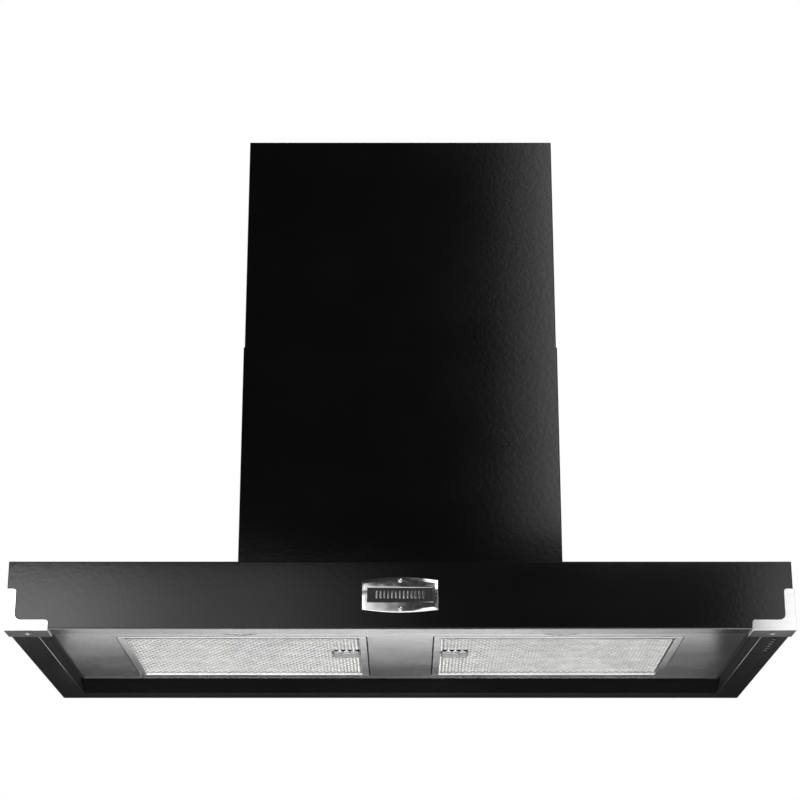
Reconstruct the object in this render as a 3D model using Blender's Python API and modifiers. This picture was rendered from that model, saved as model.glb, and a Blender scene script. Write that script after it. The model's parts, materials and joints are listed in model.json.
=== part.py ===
"""Island range hood: a flat, wide canopy on a telescopic chimney that hangs from a ceiling plate.

Everything is in metres. X runs along the hood, Y from its front face to its back, Z up. The origin
is the middle of the ceiling plate's top face, so the hood hangs below zero.
"""

import math

import bmesh
import bpy
from mathutils import Matrix, Vector

# Overall sizes
WIDTH = 1.092
DEPTH = 0.500
HEIGHT = 0.796
CANOPY_HEIGHT = 0.0966
SHEET = 0.001
GAP = 0.0003

SIDE = WIDTH / 2
FRONT = -DEPTH / 2
BACK = DEPTH / 2
UNDER = -HEIGHT
CANOPY_TOP = UNDER + CANOPY_HEIGHT

# Underside of the canopy: a flat flange all round and a raised steel panel inside it
FLANGE = 0.040
RAIL_DEPTH = 0.030
RECESS = 0.016
PANEL_Z = UNDER + RECESS
LIP_X = SIDE - FLANGE
PANEL_X = LIP_X + 0.006
RAIL_BACK = FRONT + RAIL_DEPTH
FOLD_Y = FRONT + 0.106
PANEL_BACK = FRONT + 0.418
FRONT_GLASS = 0.003

# Telescopic chimney and the two sets of uprights inside it
LOWER_CHIMNEY = (0.4704, 0.3000)
UPPER_CHIMNEY = (0.4676, 0.2972)
LOWER_CHIMNEY_TOP = UNDER + 0.4547
UPPER_CHIMNEY_BASE = UNDER + 0.416
CHIMNEY_CORNER = 0.002
UPRIGHT_LEG = 0.022
UPRIGHT_SHEET = 0.0015
UPPER_UPRIGHT_CORNER = (0.2320, 0.1468)
LOWER_UPRIGHT_CORNER = (0.2300, 0.1448)
UPPER_UPRIGHT_BASE = UNDER + 0.430
LOWER_UPRIGHT_TOP = UNDER + 0.470
CEILING_PLATE = (0.456, 0.286, 0.003)
DUCT_HOLE_RADIUS = 0.080
PLATE_SCREWS = (0.185, 0.095)
PLATE_SCREW_RADIUS = 0.004

# Corner brackets, outside the two front corners
BRACKET_ARM = 0.0134
BRACKET_LENGTH = 0.0595
BRACKET_RISE = 0.0575
BRACKET_DEPTH = 0.041
BRACKET_SHEET = 0.0015
BRACKET_ROUND = 0.004
BRACKET_FILLET = 0.008
BRACKET_SCREW = (SIDE - 0.0285, FRONT + 0.021)

# Badge plate, blank
BADGE_WIDTH = 0.106
BADGE_END_HEIGHT = 0.042
BADGE_BOW = 0.0043
BADGE_THICK = 0.0034
BADGE_Z = UNDER + 0.0485
BADGE_INSET = (0.091, 0.0195)
BADGE_POCKET = 0.0014
BADGE_SCREW_OFFSET = 0.0202
BADGE_SCREW_RADIUS = 0.00325

# Grease filters
FILTER_INNER = 0.049
FILTER_OUTER = 0.409
FILTER_FRONT = FRONT + 0.121
FILTER_BACK = FRONT + 0.396
FILTER_Z = PANEL_Z - 0.0006
FILTER_THICK = 0.009
FILTER_RIM = 0.011
FILTER_CLEARANCE = 0.0006
MESH_Z = (FILTER_Z + 0.0012, FILTER_Z + 0.0080)
LUG = (0.006, 0.020, 0.0012)
LUG_Z = PANEL_Z + SHEET + 0.0006
LUG_REACH = 0.085
TRAY_X = (0.0603, 0.1020)
TRAY_Y = (FRONT + 0.224, FRONT + 0.257)
TRAY_TOP = FILTER_Z + 0.0076
TRAY_SHEET = 0.0008
LATCH_Z = (FILTER_Z + 0.0034, FILTER_Z + 0.0052)
LATCH_GRIP = (0.066, 0.090)
LATCH_HALF_WIDTH = 0.010
TONGUE_HALF_WIDTH = 0.005
TONGUE_TIP = FILTER_INNER + 0.0004

# Lamps
LAMP_X = 0.230
LAMP_Y = FRONT + 0.070
LAMP_RADIUS = 0.0365
LENS_RADIUS = 0.0300
LAMP_HOLE_RADIUS = 0.0330
LAMP_DEPTH = 0.034

# Push buttons in the right-hand flange, with the electronics above them
BUTTON_X = 0.527
BUTTON_FIRST_Y = FRONT + 0.0605
BUTTON_PITCH = 0.0145
BUTTON_COUNT = 6
BUTTON_RADIUS = 0.0038
BUTTON_PROUD = 0.0016
CONTROL_BOX_Z = (UNDER + 0.0125, UNDER + 0.036)
CONTROL_BOX_X = (PANEL_X + 0.0015, SIDE - SHEET - GAP)

# Motor box, blower and outlet, all inside the chimney
MOTOR_BOX = (0.380, 0.228, 0.250)
MOTOR_BOX_BASE = CANOPY_TOP + GAP
MOTOR_BOX_TOP = MOTOR_BOX_BASE + MOTOR_BOX[2]
FAN_AXIS = (0.030, UNDER + 0.205)
FAN_RADIUS = 0.065
FAN_HALF_LENGTH = 0.050
BLADE_COUNT = 24
BLADE_DEPTH = 0.011
BLADE_SHEET = 0.0012
SHAFT_RADIUS = 0.004
SHAFT_END = -0.115
SCROLL_HALF_WIDTH = 0.058
SCROLL_START = 0.072
SCROLL_END = 0.092
SCROLL_CUTOFF = math.radians(12)
SCROLL_SHEET = 0.0012
INLET_RADIUS = 0.052
MOTOR_RADIUS = 0.038
MOTOR_X = (-0.130, -0.0620)
MOTOR_ARM = (0.012, 0.068)
COLLAR_RADIUS = 0.075
COLLAR_FLANGE = 0.090
COLLAR_HEIGHT = 0.048
FLAP_Z = MOTOR_BOX_TOP + 0.022
FLAP_RADIUS = 0.0732
FLAP_OFFSET = 0.003
FLAP_ROD_RADIUS = 0.0015
TERMINAL_X = (0.050, 0.140)
TERMINAL_Z = (UNDER + 0.170, UNDER + 0.240)
TERMINAL_DEPTH = 0.025
GLAND_X = 0.095

AXES = {"X": Vector((1, 0, 0)), "Y": Vector((0, 1, 0)), "Z": Vector((0, 0, 1))}

# Colour, metallic, roughness
FINISHES = {
    "black enamel": ((0.010, 0.010, 0.011), 0.0, 0.16),
    "brushed steel": ((0.60, 0.60, 0.59), 1.0, 0.32),
    "polished steel": ((0.80, 0.80, 0.80), 1.0, 0.10),
    "zinc": ((0.46, 0.47, 0.48), 1.0, 0.45),
    "aluminium": ((0.78, 0.78, 0.77), 1.0, 0.35),
    "black plastic": ((0.015, 0.015, 0.016), 0.0, 0.45),
    "dark inset": ((0.022, 0.022, 0.024), 0.0, 0.35),
    "grey plastic": ((0.22, 0.22, 0.23), 0.0, 0.50),
    "glass": ((0.92, 0.93, 0.93), 0.0, 0.15),
    "light cap": ((0.55, 0.56, 0.57), 0.0, 0.40),
}


# ---------------------------------------------------------------- tools


def clear_scene():
    for obj in list(bpy.data.objects):
        bpy.data.objects.remove(obj, do_unlink=True)


def new_collection(name):
    collection = bpy.data.collections.new(name)
    bpy.context.scene.collection.children.link(collection)
    return collection


def new_material(name, finish):
    colour, metallic, roughness = FINISHES[finish]
    material = bpy.data.materials.new(name)
    material.use_nodes = True
    shader = material.node_tree.nodes["Principled BSDF"]
    shader.inputs["Base Color"].default_value = (*colour, 1)
    shader.inputs["Metallic"].default_value = metallic
    shader.inputs["Roughness"].default_value = roughness
    if finish == "glass":
        shader.inputs["Transmission Weight"].default_value = 0.9
    return material


def add_part(name, mesh, finish, origin=(0, 0, 0)):
    """One sub-part. Its mesh is drawn in world coordinates, and its origin goes to the given point."""
    mesh.name = name
    mesh.transform(Matrix.Translation(-Vector(origin)))
    mesh.materials.append(new_material(name, finish))
    obj = bpy.data.objects.new(name, mesh)
    obj.location = origin
    parts.objects.link(obj)
    return obj


def add_helper(name, mesh):
    """A cutter, or a shape that is joined onto a part."""
    obj = bpy.data.objects.new(name, mesh)
    obj.hide_render = True
    obj.display_type = "WIRE"
    cutters.objects.link(obj)
    return obj


def combine(obj, operation, name, mesh):
    modifier = obj.modifiers.new(name, "BOOLEAN")
    modifier.operation = operation
    modifier.solver = "EXACT"
    modifier.object = add_helper(f"{obj.name}_{name}", mesh)


def cut(obj, name, mesh):
    combine(obj, "DIFFERENCE", name, mesh)


def join(obj, name, mesh):
    combine(obj, "UNION", name, mesh)


def bevel(obj, width, segments=2, angle=40):
    modifier = obj.modifiers.new("edges", "BEVEL")
    modifier.width = width
    modifier.segments = segments
    modifier.limit_method = "ANGLE"
    modifier.angle_limit = math.radians(angle)


def solidify(obj, thickness, offset):
    """offset 1 grows the sheet along its faces' normals, and -1 grows it against them."""
    modifier = obj.modifiers.new("sheet", "SOLIDIFY")
    modifier.thickness = thickness
    modifier.offset = offset
    modifier.use_even_offset = True


def smooth(obj, angle=35):
    obj.data.shade_smooth()
    obj.data.set_sharp_from_angle(angle=math.radians(angle))


def to_mesh(bm, name="shape"):
    mesh = bpy.data.meshes.new(name)
    bm.to_mesh(mesh)
    bm.free()
    return mesh


def merged(meshes):
    """One mesh that holds several shapes which don't touch."""
    bm = bmesh.new()
    for mesh in meshes:
        bm.from_mesh(mesh)
        bpy.data.meshes.remove(mesh)
    return to_mesh(bm)


def box_mesh(low, high):
    low, high = Vector(low), Vector(high)
    bm = bmesh.new()
    bmesh.ops.create_cube(bm, size=1)
    place = Matrix.Translation((low + high) / 2) @ Matrix.Diagonal((*(high - low), 1))
    bmesh.ops.transform(bm, verts=bm.verts, matrix=place)
    return to_mesh(bm)


def rod_mesh(centre, axis, radius, length, sides=32):
    """A cylinder along a world axis."""
    turn = AXES["Z"].rotation_difference(AXES[axis]).to_matrix().to_4x4()
    bm = bmesh.new()
    bmesh.ops.create_cone(
        bm, cap_ends=True, segments=sides, radius1=radius, radius2=radius, depth=length
    )
    bmesh.ops.transform(bm, verts=bm.verts, matrix=Matrix.Translation(centre) @ turn)
    return to_mesh(bm)


def plate_mesh(outline, thickness, frame):
    """A flat plate: a closed outline in its own XY plane, thickened, then turned and moved by frame."""
    curve = bpy.data.curves.new("outline", "CURVE")
    curve.dimensions = "2D"
    curve.fill_mode = "BOTH"
    curve.extrude = thickness / 2
    spline = curve.splines.new("POLY")
    spline.points.add(len(outline) - 1)
    for point, (x, y) in zip(spline.points, outline):
        point.co = (x, y, 0, 1)
    spline.use_cyclic_u = True
    guide = bpy.data.objects.new("outline", curve)
    bpy.context.scene.collection.objects.link(guide)
    graph = bpy.context.evaluated_depsgraph_get()
    mesh = bpy.data.meshes.new_from_object(guide.evaluated_get(graph))
    bpy.data.objects.remove(guide, do_unlink=True)
    bpy.data.curves.remove(curve)
    bm = bmesh.new()
    bm.from_mesh(mesh)
    bpy.data.meshes.remove(mesh)
    bmesh.ops.remove_doubles(bm, verts=bm.verts, dist=1e-6)
    bmesh.ops.transform(bm, verts=bm.verts, matrix=frame)
    bmesh.ops.recalc_face_normals(bm, faces=bm.faces)
    return to_mesh(bm)


def strip_mesh(chain, sweep, closed=False):
    """A bent sheet with no thickness yet: a chain of points swept along a vector."""
    bm = bmesh.new()
    points = [bm.verts.new(p) for p in chain]
    ends = points[1:] + points[:1] if closed else points[1:]
    edges = [bm.edges.new(pair) for pair in zip(points, ends)]
    made = bmesh.ops.extrude_edge_only(bm, edges=edges)["geom"]
    swept = [v for v in made if isinstance(v, bmesh.types.BMVert)]
    bmesh.ops.translate(bm, verts=swept, vec=sweep)
    return to_mesh(bm)


def turned(name, profile, finish, centre, axis="Z", flip=False, steps=32):
    """A turned part. The profile is (radius, height) pairs that run down its outer side."""
    bm = bmesh.new()
    points = [bm.verts.new((radius, 0, height)) for radius, height in profile]
    for first, second in zip(points, points[1:]):
        bm.edges.new((first, second))
    if profile[0][0] > 0:
        bm.edges.new((points[-1], points[0]))
    obj = add_part(name, to_mesh(bm), finish)
    direction = AXES[axis] * (-1 if flip else 1)
    obj.rotation_euler = AXES["Z"].rotation_difference(direction).to_euler()
    obj.location = centre
    screw = obj.modifiers.new("turn", "SCREW")
    screw.steps = screw.render_steps = steps
    screw.use_merge_vertices = True
    screw.merge_threshold = 1e-5
    screw.use_smooth_shade = False
    return obj


def arc(centre, radius, start, end, steps):
    """Points along an arc, with angles in degrees."""
    for i in range(steps + 1):
        angle = math.radians(start + (end - start) * i / steps)
        yield centre[0] + radius * math.cos(angle), centre[1] + radius * math.sin(angle)


def rounded_rectangle(half_x, half_y, radius, steps):
    points = []
    for sign_x, sign_y, start in ((1, 1, 0), (-1, 1, 90), (-1, -1, 180), (1, -1, 270)):
        centre = (sign_x * (half_x - radius), sign_y * (half_y - radius))
        points += arc(centre, radius, start, start + 90, steps)
    return points


# ---------------------------------------------------------------- ceiling frame


def upright(name, corner, sign_x, sign_y, base, top):
    """An angle section whose outer corner lies at the given corner."""
    x, y = sign_x * corner[0], sign_y * corner[1]
    chain = [
        (x - sign_x * UPRIGHT_LEG, y, base),
        (x, y, base),
        (x, y - sign_y * UPRIGHT_LEG, base),
    ]
    if sign_x * sign_y < 0:
        chain.reverse()
    obj = add_part(name, strip_mesh(chain, (0, 0, top - base)), "zinc")
    solidify(obj, UPRIGHT_SHEET, -1)


def chimney(name, size, base, top):
    outline = rounded_rectangle(size[0] / 2, size[1] / 2, CHIMNEY_CORNER, 3)
    chain = [(x, y, base) for x, y in outline]
    mesh = strip_mesh(chain, (0, 0, top - base), closed=True)
    obj = add_part(name, mesh, "black enamel")
    solidify(obj, SHEET, 1)
    smooth(obj)


def ceiling_plate():
    half_x, half_y, thick = CEILING_PLATE[0] / 2, CEILING_PLATE[1] / 2, CEILING_PLATE[2]
    plate = add_part(
        "ceiling_plate",
        box_mesh((-half_x, -half_y, -thick), (half_x, half_y, 0)),
        "zinc",
    )
    middle = (0, 0, -thick / 2)
    cut(plate, "duct_hole", rod_mesh(middle, "Z", DUCT_HOLE_RADIUS, 4 * thick, 48))
    screw_x, screw_y = PLATE_SCREWS
    holes = [
        rod_mesh((x, y, -thick / 2), "Z", PLATE_SCREW_RADIUS, 4 * thick, 16)
        for x in (-screw_x, screw_x)
        for y in (-screw_y, screw_y)
    ]
    cut(plate, "screw_holes", merged(holes))


def chimney_and_uprights():
    chimney("upper_chimney", UPPER_CHIMNEY, UPPER_CHIMNEY_BASE, -GAP)
    chimney("lower_chimney", LOWER_CHIMNEY, CANOPY_TOP + GAP, LOWER_CHIMNEY_TOP)
    plate_under = -CEILING_PLATE[2] - GAP
    for front_or_back, sign_y in (("front", -1), ("back", 1)):
        for left_or_right, sign_x in (("left", -1), ("right", 1)):
            place = f"{front_or_back}_{left_or_right}"
            upright(
                f"upper_upright_{place}",
                UPPER_UPRIGHT_CORNER,
                sign_x,
                sign_y,
                UPPER_UPRIGHT_BASE,
                plate_under,
            )
            upright(
                f"lower_upright_{place}",
                LOWER_UPRIGHT_CORNER,
                sign_x,
                sign_y,
                CANOPY_TOP + GAP,
                LOWER_UPRIGHT_TOP,
            )


# ---------------------------------------------------------------- canopy shell


def top_panel():
    panel = add_part(
        "top_panel",
        box_mesh(
            (-SIDE, FRONT + FRONT_GLASS + GAP, CANOPY_TOP - SHEET),
            (SIDE, BACK, CANOPY_TOP),
        ),
        "black enamel",
    )
    half_x, half_y = MOTOR_BOX[0] / 2 - 0.004, MOTOR_BOX[1] / 2 - 0.004
    cut(
        panel,
        "air_opening",
        box_mesh(
            (-half_x, -half_y, CANOPY_TOP - 0.01), (half_x, half_y, CANOPY_TOP + 0.01)
        ),
    )


def front_panel():
    panel = add_part(
        "front_panel",
        box_mesh(
            (-SIDE, FRONT, UNDER + SHEET + GAP), (SIDE, FRONT + FRONT_GLASS, CANOPY_TOP)
        ),
        "black enamel",
    )
    bevel(panel, 0.0006)


def side_panel(name, sign):
    """Wall, bottom flange and upturned lip, bent from one sheet."""
    front = FRONT + FRONT_GLASS + GAP
    back = BACK - SHEET - GAP
    chain = [
        (sign * SIDE, front, CANOPY_TOP - SHEET - GAP),
        (sign * SIDE, front, UNDER),
        (sign * LIP_X, front, UNDER),
        (sign * LIP_X, front, PANEL_Z - GAP),
    ]
    if sign < 0:
        chain.reverse()
    panel = add_part(name, strip_mesh(chain, (0, back - front, 0)), "black enamel")
    solidify(panel, SHEET, 1)
    inner, outer = sorted((sign * (LIP_X - 0.01), sign * (SIDE - SHEET)))
    cut(
        panel,
        "rail_notch",
        box_mesh(
            (inner, front - 0.01, UNDER - 0.01), (outer, RAIL_BACK + GAP, PANEL_Z + 0.01)
        ),
    )
    return panel


def rear_panel():
    """Wall, bottom flange and a band that slopes up to the filter panel."""
    half = SIDE - SHEET - GAP
    chain = [
        (-half, BACK, CANOPY_TOP - SHEET - GAP),
        (-half, BACK, UNDER),
        (-half, BACK - FLANGE, UNDER),
        (-half, PANEL_BACK + GAP, PANEL_Z),
    ]
    panel = add_part("rear_panel", strip_mesh(chain, (2 * half, 0, 0)), "black enamel")
    solidify(panel, SHEET, -1)
    corners = []
    for sign in (-1, 1):
        inner, outer = sorted((sign * (LIP_X - GAP), sign * (SIDE + 0.01)))
        corners.append(
            box_mesh(
                (inner, PANEL_BACK - 0.01, UNDER - 0.01),
                (outer, BACK - SHEET, PANEL_Z + 0.01),
            )
        )
    cut(panel, "flange_corners", merged(corners))


def front_rail():
    half = SIDE - SHEET - GAP
    chain = [
        (-half, FRONT, UNDER),
        (-half, RAIL_BACK, UNDER),
        (-half, RAIL_BACK, PANEL_Z - GAP),
    ]
    rail = add_part("front_rail", strip_mesh(chain, (2 * half, 0, 0)), "brushed steel")
    solidify(rail, SHEET, 1)
    holes = [
        rod_mesh((sign * BRACKET_SCREW[0], BRACKET_SCREW[1], UNDER), "Z", 0.0024, 0.01, 16)
        for sign in (-1, 1)
    ]
    cut(rail, "screw_holes", merged(holes))


def lamp_panel():
    panel = add_part(
        "lamp_panel",
        box_mesh(
            (-PANEL_X, RAIL_BACK + GAP, PANEL_Z), (PANEL_X, FOLD_Y - GAP, PANEL_Z + SHEET)
        ),
        "brushed steel",
    )
    holes = [
        rod_mesh((sign * LAMP_X, LAMP_Y, PANEL_Z), "Z", LAMP_HOLE_RADIUS, 0.01, 48)
        for sign in (-1, 1)
    ]
    cut(panel, "lamp_holes", merged(holes))


def filter_panel():
    panel = add_part(
        "filter_panel",
        box_mesh((-PANEL_X, FOLD_Y, PANEL_Z), (PANEL_X, PANEL_BACK, PANEL_Z + SHEET)),
        "brushed steel",
    )
    windows = []
    for sign in (-1, 1):
        inner, outer = sorted(
            (
                sign * (FILTER_INNER - FILTER_CLEARANCE),
                sign * (FILTER_OUTER + FILTER_CLEARANCE),
            )
        )
        windows.append(
            box_mesh(
                (inner, FILTER_FRONT - FILTER_CLEARANCE, PANEL_Z - 0.01),
                (outer, FILTER_BACK + FILTER_CLEARANCE, PANEL_Z + 0.01),
            )
        )
    cut(panel, "filter_windows", merged(windows))


def bracket_surface():
    """The left bracket's inner skin: two L shapes and a bottom plate that share the corner's edges."""
    x0, y0, z0 = -SIDE - GAP, FRONT - GAP, UNDER - GAP

    def l_shape(length):
        tip = length - BRACKET_ROUND
        bend = BRACKET_ARM + BRACKET_FILLET
        crown = BRACKET_RISE - BRACKET_ROUND
        yield from ((0, 0), (length, 0))
        yield from arc((tip, BRACKET_ARM - BRACKET_ROUND), BRACKET_ROUND, 0, 90, 3)
        yield from arc((bend, bend), BRACKET_FILLET, 270, 180, 4)
        yield from arc((BRACKET_ARM - BRACKET_ROUND, crown), BRACKET_ROUND, 0, 90, 3)
        yield 0, BRACKET_RISE

    bm = bmesh.new()
    front = [bm.verts.new((x0 + u, y0, z0 + v)) for u, v in l_shape(BRACKET_LENGTH)]
    side = [bm.verts.new((x0, y0 + u, z0 + v)) for u, v in l_shape(BRACKET_DEPTH)]
    corner = (BRACKET_LENGTH - BRACKET_ROUND, BRACKET_DEPTH - BRACKET_ROUND)
    flat = [(0, 0), (0, BRACKET_DEPTH)]
    flat += reversed(list(arc(corner, BRACKET_ROUND, 0, 90, 3)))
    flat.append((BRACKET_LENGTH, 0))
    under = [bm.verts.new((x0 + u, y0 + v, z0)) for u, v in flat]
    for ring in (front, side[::-1], under):
        bm.faces.new(ring)
    bmesh.ops.remove_doubles(bm, verts=bm.verts, dist=1e-6)
    return to_mesh(bm)


def corner_bracket(name, sign):
    mesh = bracket_surface()
    if sign > 0:
        mesh.transform(Matrix.Scale(-1, 4, (1, 0, 0)))
        mesh.flip_normals()
    bracket = add_part(name, mesh, "polished steel")
    solidify(bracket, BRACKET_SHEET, 1)
    x, y = sign * BRACKET_SCREW[0], BRACKET_SCREW[1]
    bm = bmesh.new()
    bmesh.ops.create_cone(
        bm, cap_ends=True, segments=32, radius1=0.0052, radius2=0.0024, depth=0.004
    )
    bmesh.ops.translate(bm, verts=bm.verts, vec=(x, y, UNDER - GAP - 0.0005))
    cut(bracket, "countersink", to_mesh(bm))


def bracket_screw(name, sign):
    """A countersunk screw, driven upwards. Its height is measured down from the rail's underside."""
    head = [(0, 0.0019), (0.0038, 0.0019), (0.0019, 0.0002), (0.0019, -0.0090), (0, -0.0090)]
    centre = (sign * BRACKET_SCREW[0], BRACKET_SCREW[1], UNDER)
    turned(name, head, "polished steel", centre, flip=True, steps=24)


def badge():
    half_x, half_z = BADGE_WIDTH / 2, BADGE_END_HEIGHT / 2
    bow = [
        (half_x - BADGE_WIDTH * i / 16, half_z + BADGE_BOW * math.sin(math.pi * i / 16))
        for i in range(17)
    ]
    outline = bow + [(-x, -z) for x, z in bow]
    upright_frame = Matrix.Rotation(math.radians(90), 4, "X")
    back = FRONT - GAP
    front = back - BADGE_THICK
    frame = Matrix.Translation((0, (front + back) / 2, BADGE_Z)) @ upright_frame
    plate = add_part("badge_plate", plate_mesh(outline, BADGE_THICK, frame), "aluminium")
    bevel(plate, 0.0008)
    inset_x, inset_z = BADGE_INSET[0] / 2, BADGE_INSET[1] / 2
    floor = front + BADGE_POCKET
    cut(
        plate,
        "pocket",
        box_mesh(
            (-inset_x - GAP, front - 0.01, BADGE_Z - inset_z - GAP),
            (inset_x + GAP, floor, BADGE_Z + inset_z + GAP),
        ),
    )
    add_part(
        "badge_inset",
        box_mesh(
            (-inset_x, front + 0.0003, BADGE_Z - inset_z),
            (inset_x, floor - GAP, BADGE_Z + inset_z),
        ),
        "dark inset",
    )
    r = BADGE_SCREW_RADIUS
    dome = [(0, 0.0014), (0.5 * r, 0.0012), (0.85 * r, 0.0007), (r, 0), (0, 0)]
    for name, sign in (("badge_screw_upper", 1), ("badge_screw_lower", -1)):
        centre = (0, front - GAP, BADGE_Z + sign * BADGE_SCREW_OFFSET)
        turned(name, dome, "polished steel", centre, axis="Y", flip=True, steps=24)


# ---------------------------------------------------------------- filters


def filter_rim(name, sign):
    """The filter's frame, with two lugs that lie on the panel along the outer edge."""
    hinge = (sign * FILTER_OUTER, (FILTER_FRONT + FILTER_BACK) / 2, FILTER_Z)
    top = FILTER_Z + FILTER_THICK
    near, far = sorted((sign * FILTER_INNER, sign * FILTER_OUTER))
    rim = add_part(
        name,
        box_mesh((near, FILTER_FRONT, FILTER_Z), (far, FILTER_BACK, top)),
        "polished steel",
        hinge,
    )
    cut(
        rim,
        "window",
        box_mesh(
            (near + FILTER_RIM, FILTER_FRONT + FILTER_RIM, FILTER_Z - 0.01),
            (far - FILTER_RIM, FILTER_BACK - FILTER_RIM, top + 0.01),
        ),
    )
    cut(rim, "latch_slot", latch_slot(sign))
    lugs = []
    for side_y in (-1, 1):
        middle = hinge[1] + side_y * LUG_REACH
        inner, outer = sorted(
            (sign * (FILTER_OUTER - 0.003), sign * (FILTER_OUTER + LUG[0]))
        )
        lugs.append(
            box_mesh(
                (inner, middle - LUG[1] / 2, LUG_Z),
                (outer, middle + LUG[1] / 2, LUG_Z + LUG[2]),
            )
        )
    join(rim, "lugs", merged(lugs))
    return hinge


def latch_slot(sign):
    """The way through the frame and the tray's wall for the latch's tongue."""
    middle = sum(TRAY_Y) / 2
    near, far = sorted((sign * (FILTER_INNER - 0.002), sign * (TRAY_X[0] + 0.002)))
    return box_mesh(
        (near, middle - TONGUE_HALF_WIDTH - 0.0005, LATCH_Z[0] - 0.0005),
        (far, middle + TONGUE_HALF_WIDTH + 0.0005, LATCH_Z[1] + 0.0005),
    )


def filter_pad(name, sign, hinge):
    """The pad of grease mesh, notched round the handle's tray."""
    inset = FILTER_RIM + GAP
    near, far = sorted((sign * (FILTER_INNER + inset), sign * (FILTER_OUTER - inset)))
    pad = add_part(
        name,
        box_mesh(
            (near, FILTER_FRONT + inset, MESH_Z[0]), (far, FILTER_BACK - inset, MESH_Z[1])
        ),
        "aluminium",
        hinge,
    )
    near, far = sorted((sign * (TRAY_X[0] - 0.002), sign * (TRAY_X[1] + GAP)))
    cut(
        pad,
        "tray_notch",
        box_mesh(
            (near, TRAY_Y[0] - GAP, MESH_Z[0] - 0.01), (far, TRAY_Y[1] + GAP, MESH_Z[1] + 0.01)
        ),
    )


def handle_tray(name, sign, hinge):
    """A pressed tray, open below, that the fingers reach into."""
    near, far = sorted((sign * TRAY_X[0], sign * TRAY_X[1]))
    tray = add_part(
        name,
        box_mesh((near, TRAY_Y[0], FILTER_Z), (far, TRAY_Y[1], TRAY_TOP)),
        "polished steel",
        hinge,
    )
    cut(
        tray,
        "hollow",
        box_mesh(
            (near + TRAY_SHEET, TRAY_Y[0] + TRAY_SHEET, FILTER_Z - 0.01),
            (far - TRAY_SHEET, TRAY_Y[1] - TRAY_SHEET, TRAY_TOP - TRAY_SHEET),
        ),
    )
    cut(tray, "latch_slot", latch_slot(sign))


def latch(name, sign):
    """A sliding plate with a finger lip. Its tongue runs out through the frame."""
    middle = sum(TRAY_Y) / 2
    near, far = sorted((sign * LATCH_GRIP[0], sign * LATCH_GRIP[1]))
    plate = add_part(
        name,
        box_mesh(
            (near, middle - LATCH_HALF_WIDTH, LATCH_Z[0]),
            (far, middle + LATCH_HALF_WIDTH, LATCH_Z[1]),
        ),
        "polished steel",
        (sign * LATCH_GRIP[0], middle, LATCH_Z[0]),
    )
    near, far = sorted((sign * TONGUE_TIP, sign * (LATCH_GRIP[0] + 0.004)))
    tongue = box_mesh(
        (near, middle - TONGUE_HALF_WIDTH, LATCH_Z[0]),
        (far, middle + TONGUE_HALF_WIDTH, LATCH_Z[1]),
    )
    near, far = sorted((sign * (LATCH_GRIP[1] - 0.004), sign * (LATCH_GRIP[1] - 0.002)))
    lip = box_mesh(
        (near, middle - 0.8 * LATCH_HALF_WIDTH, FILTER_Z + 0.0006),
        (far, middle + 0.8 * LATCH_HALF_WIDTH, LATCH_Z[0] + 0.0008),
    )
    join(plate, "tongue", tongue)
    join(plate, "finger_lip", lip)


def filters():
    for name, sign in (("left", -1), ("right", 1)):
        hinge = filter_rim(f"filter_frame_{name}", sign)
        filter_pad(f"filter_mesh_{name}", sign, hinge)
        handle_tray(f"handle_tray_{name}", sign, hinge)
        latch(f"filter_latch_{name}", sign)


# ---------------------------------------------------------------- lamps and buttons


def lamps():
    """A flush ring, a glass and a can for each lamp."""
    bezel = [
        (LENS_RADIUS + 0.0016, 0.004),
        (LENS_RADIUS + 0.0024, 0.004),
        (LENS_RADIUS + 0.0024, -GAP),
        (LAMP_RADIUS, -GAP),
        (LAMP_RADIUS, -0.0010),
        (LAMP_RADIUS - 0.0008, -0.0016),
        (LENS_RADIUS + 0.0016, -0.0016),
    ]
    lens = [
        (0, 0.0022),
        (LENS_RADIUS + 0.0012, 0.0022),
        (LENS_RADIUS + 0.0012, -0.0006),
        (LENS_RADIUS - 0.003, -0.0012),
        (0, -0.0014),
    ]
    base, top, outer = SHEET + GAP, SHEET + LAMP_DEPTH, LAMP_HOLE_RADIUS + 0.002
    housing = [
        (0, top),
        (0.6 * outer, top),
        (outer, top - 0.008),
        (outer, base + 0.001),
        (outer + 0.004, base + 0.001),
        (outer + 0.004, base),
        (outer - 0.001, base),
        (outer - 0.001, top - 0.0085),
        (0.6 * outer - 0.001, top - 0.001),
        (0, top - 0.001),
    ]
    for side, sign in (("left", -1), ("right", 1)):
        centre = (sign * LAMP_X, LAMP_Y, PANEL_Z)
        turned(f"lamp_bezel_{side}", bezel, "polished steel", centre, steps=40)
        turned(f"lamp_lens_{side}", lens, "glass", centre, steps=40)
        turned(f"lamp_housing_{side}", housing, "zinc", centre)


def control_buttons():
    """Six caps that pass up through the flange, each with a collar that keeps it in."""
    for i in range(BUTTON_COUNT):
        y = BUTTON_FIRST_Y + i * BUTTON_PITCH
        cap = [
            (0, 0.0100),
            (0.0018, 0.0100),
            (0.0018, SHEET + 0.0014),
            (0.0050, SHEET + 0.0014),
            (0.0050, SHEET + GAP),
            (BUTTON_RADIUS, SHEET + GAP),
            (BUTTON_RADIUS, -BUTTON_PROUD + 0.0005),
            (BUTTON_RADIUS - 0.0006, -BUTTON_PROUD),
            (0, -BUTTON_PROUD),
        ]
        turned(f"button_{i + 1}", cap, "light cap", (BUTTON_X, y, UNDER), steps=12)


def cut_button_holes(panel):
    holes = [
        rod_mesh(
            (BUTTON_X, BUTTON_FIRST_Y + i * BUTTON_PITCH, UNDER),
            "Z",
            BUTTON_RADIUS + 2 * GAP,
            0.01,
            16,
        )
        for i in range(BUTTON_COUNT)
    ]
    cut(panel, "button_holes", merged(holes))


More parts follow.
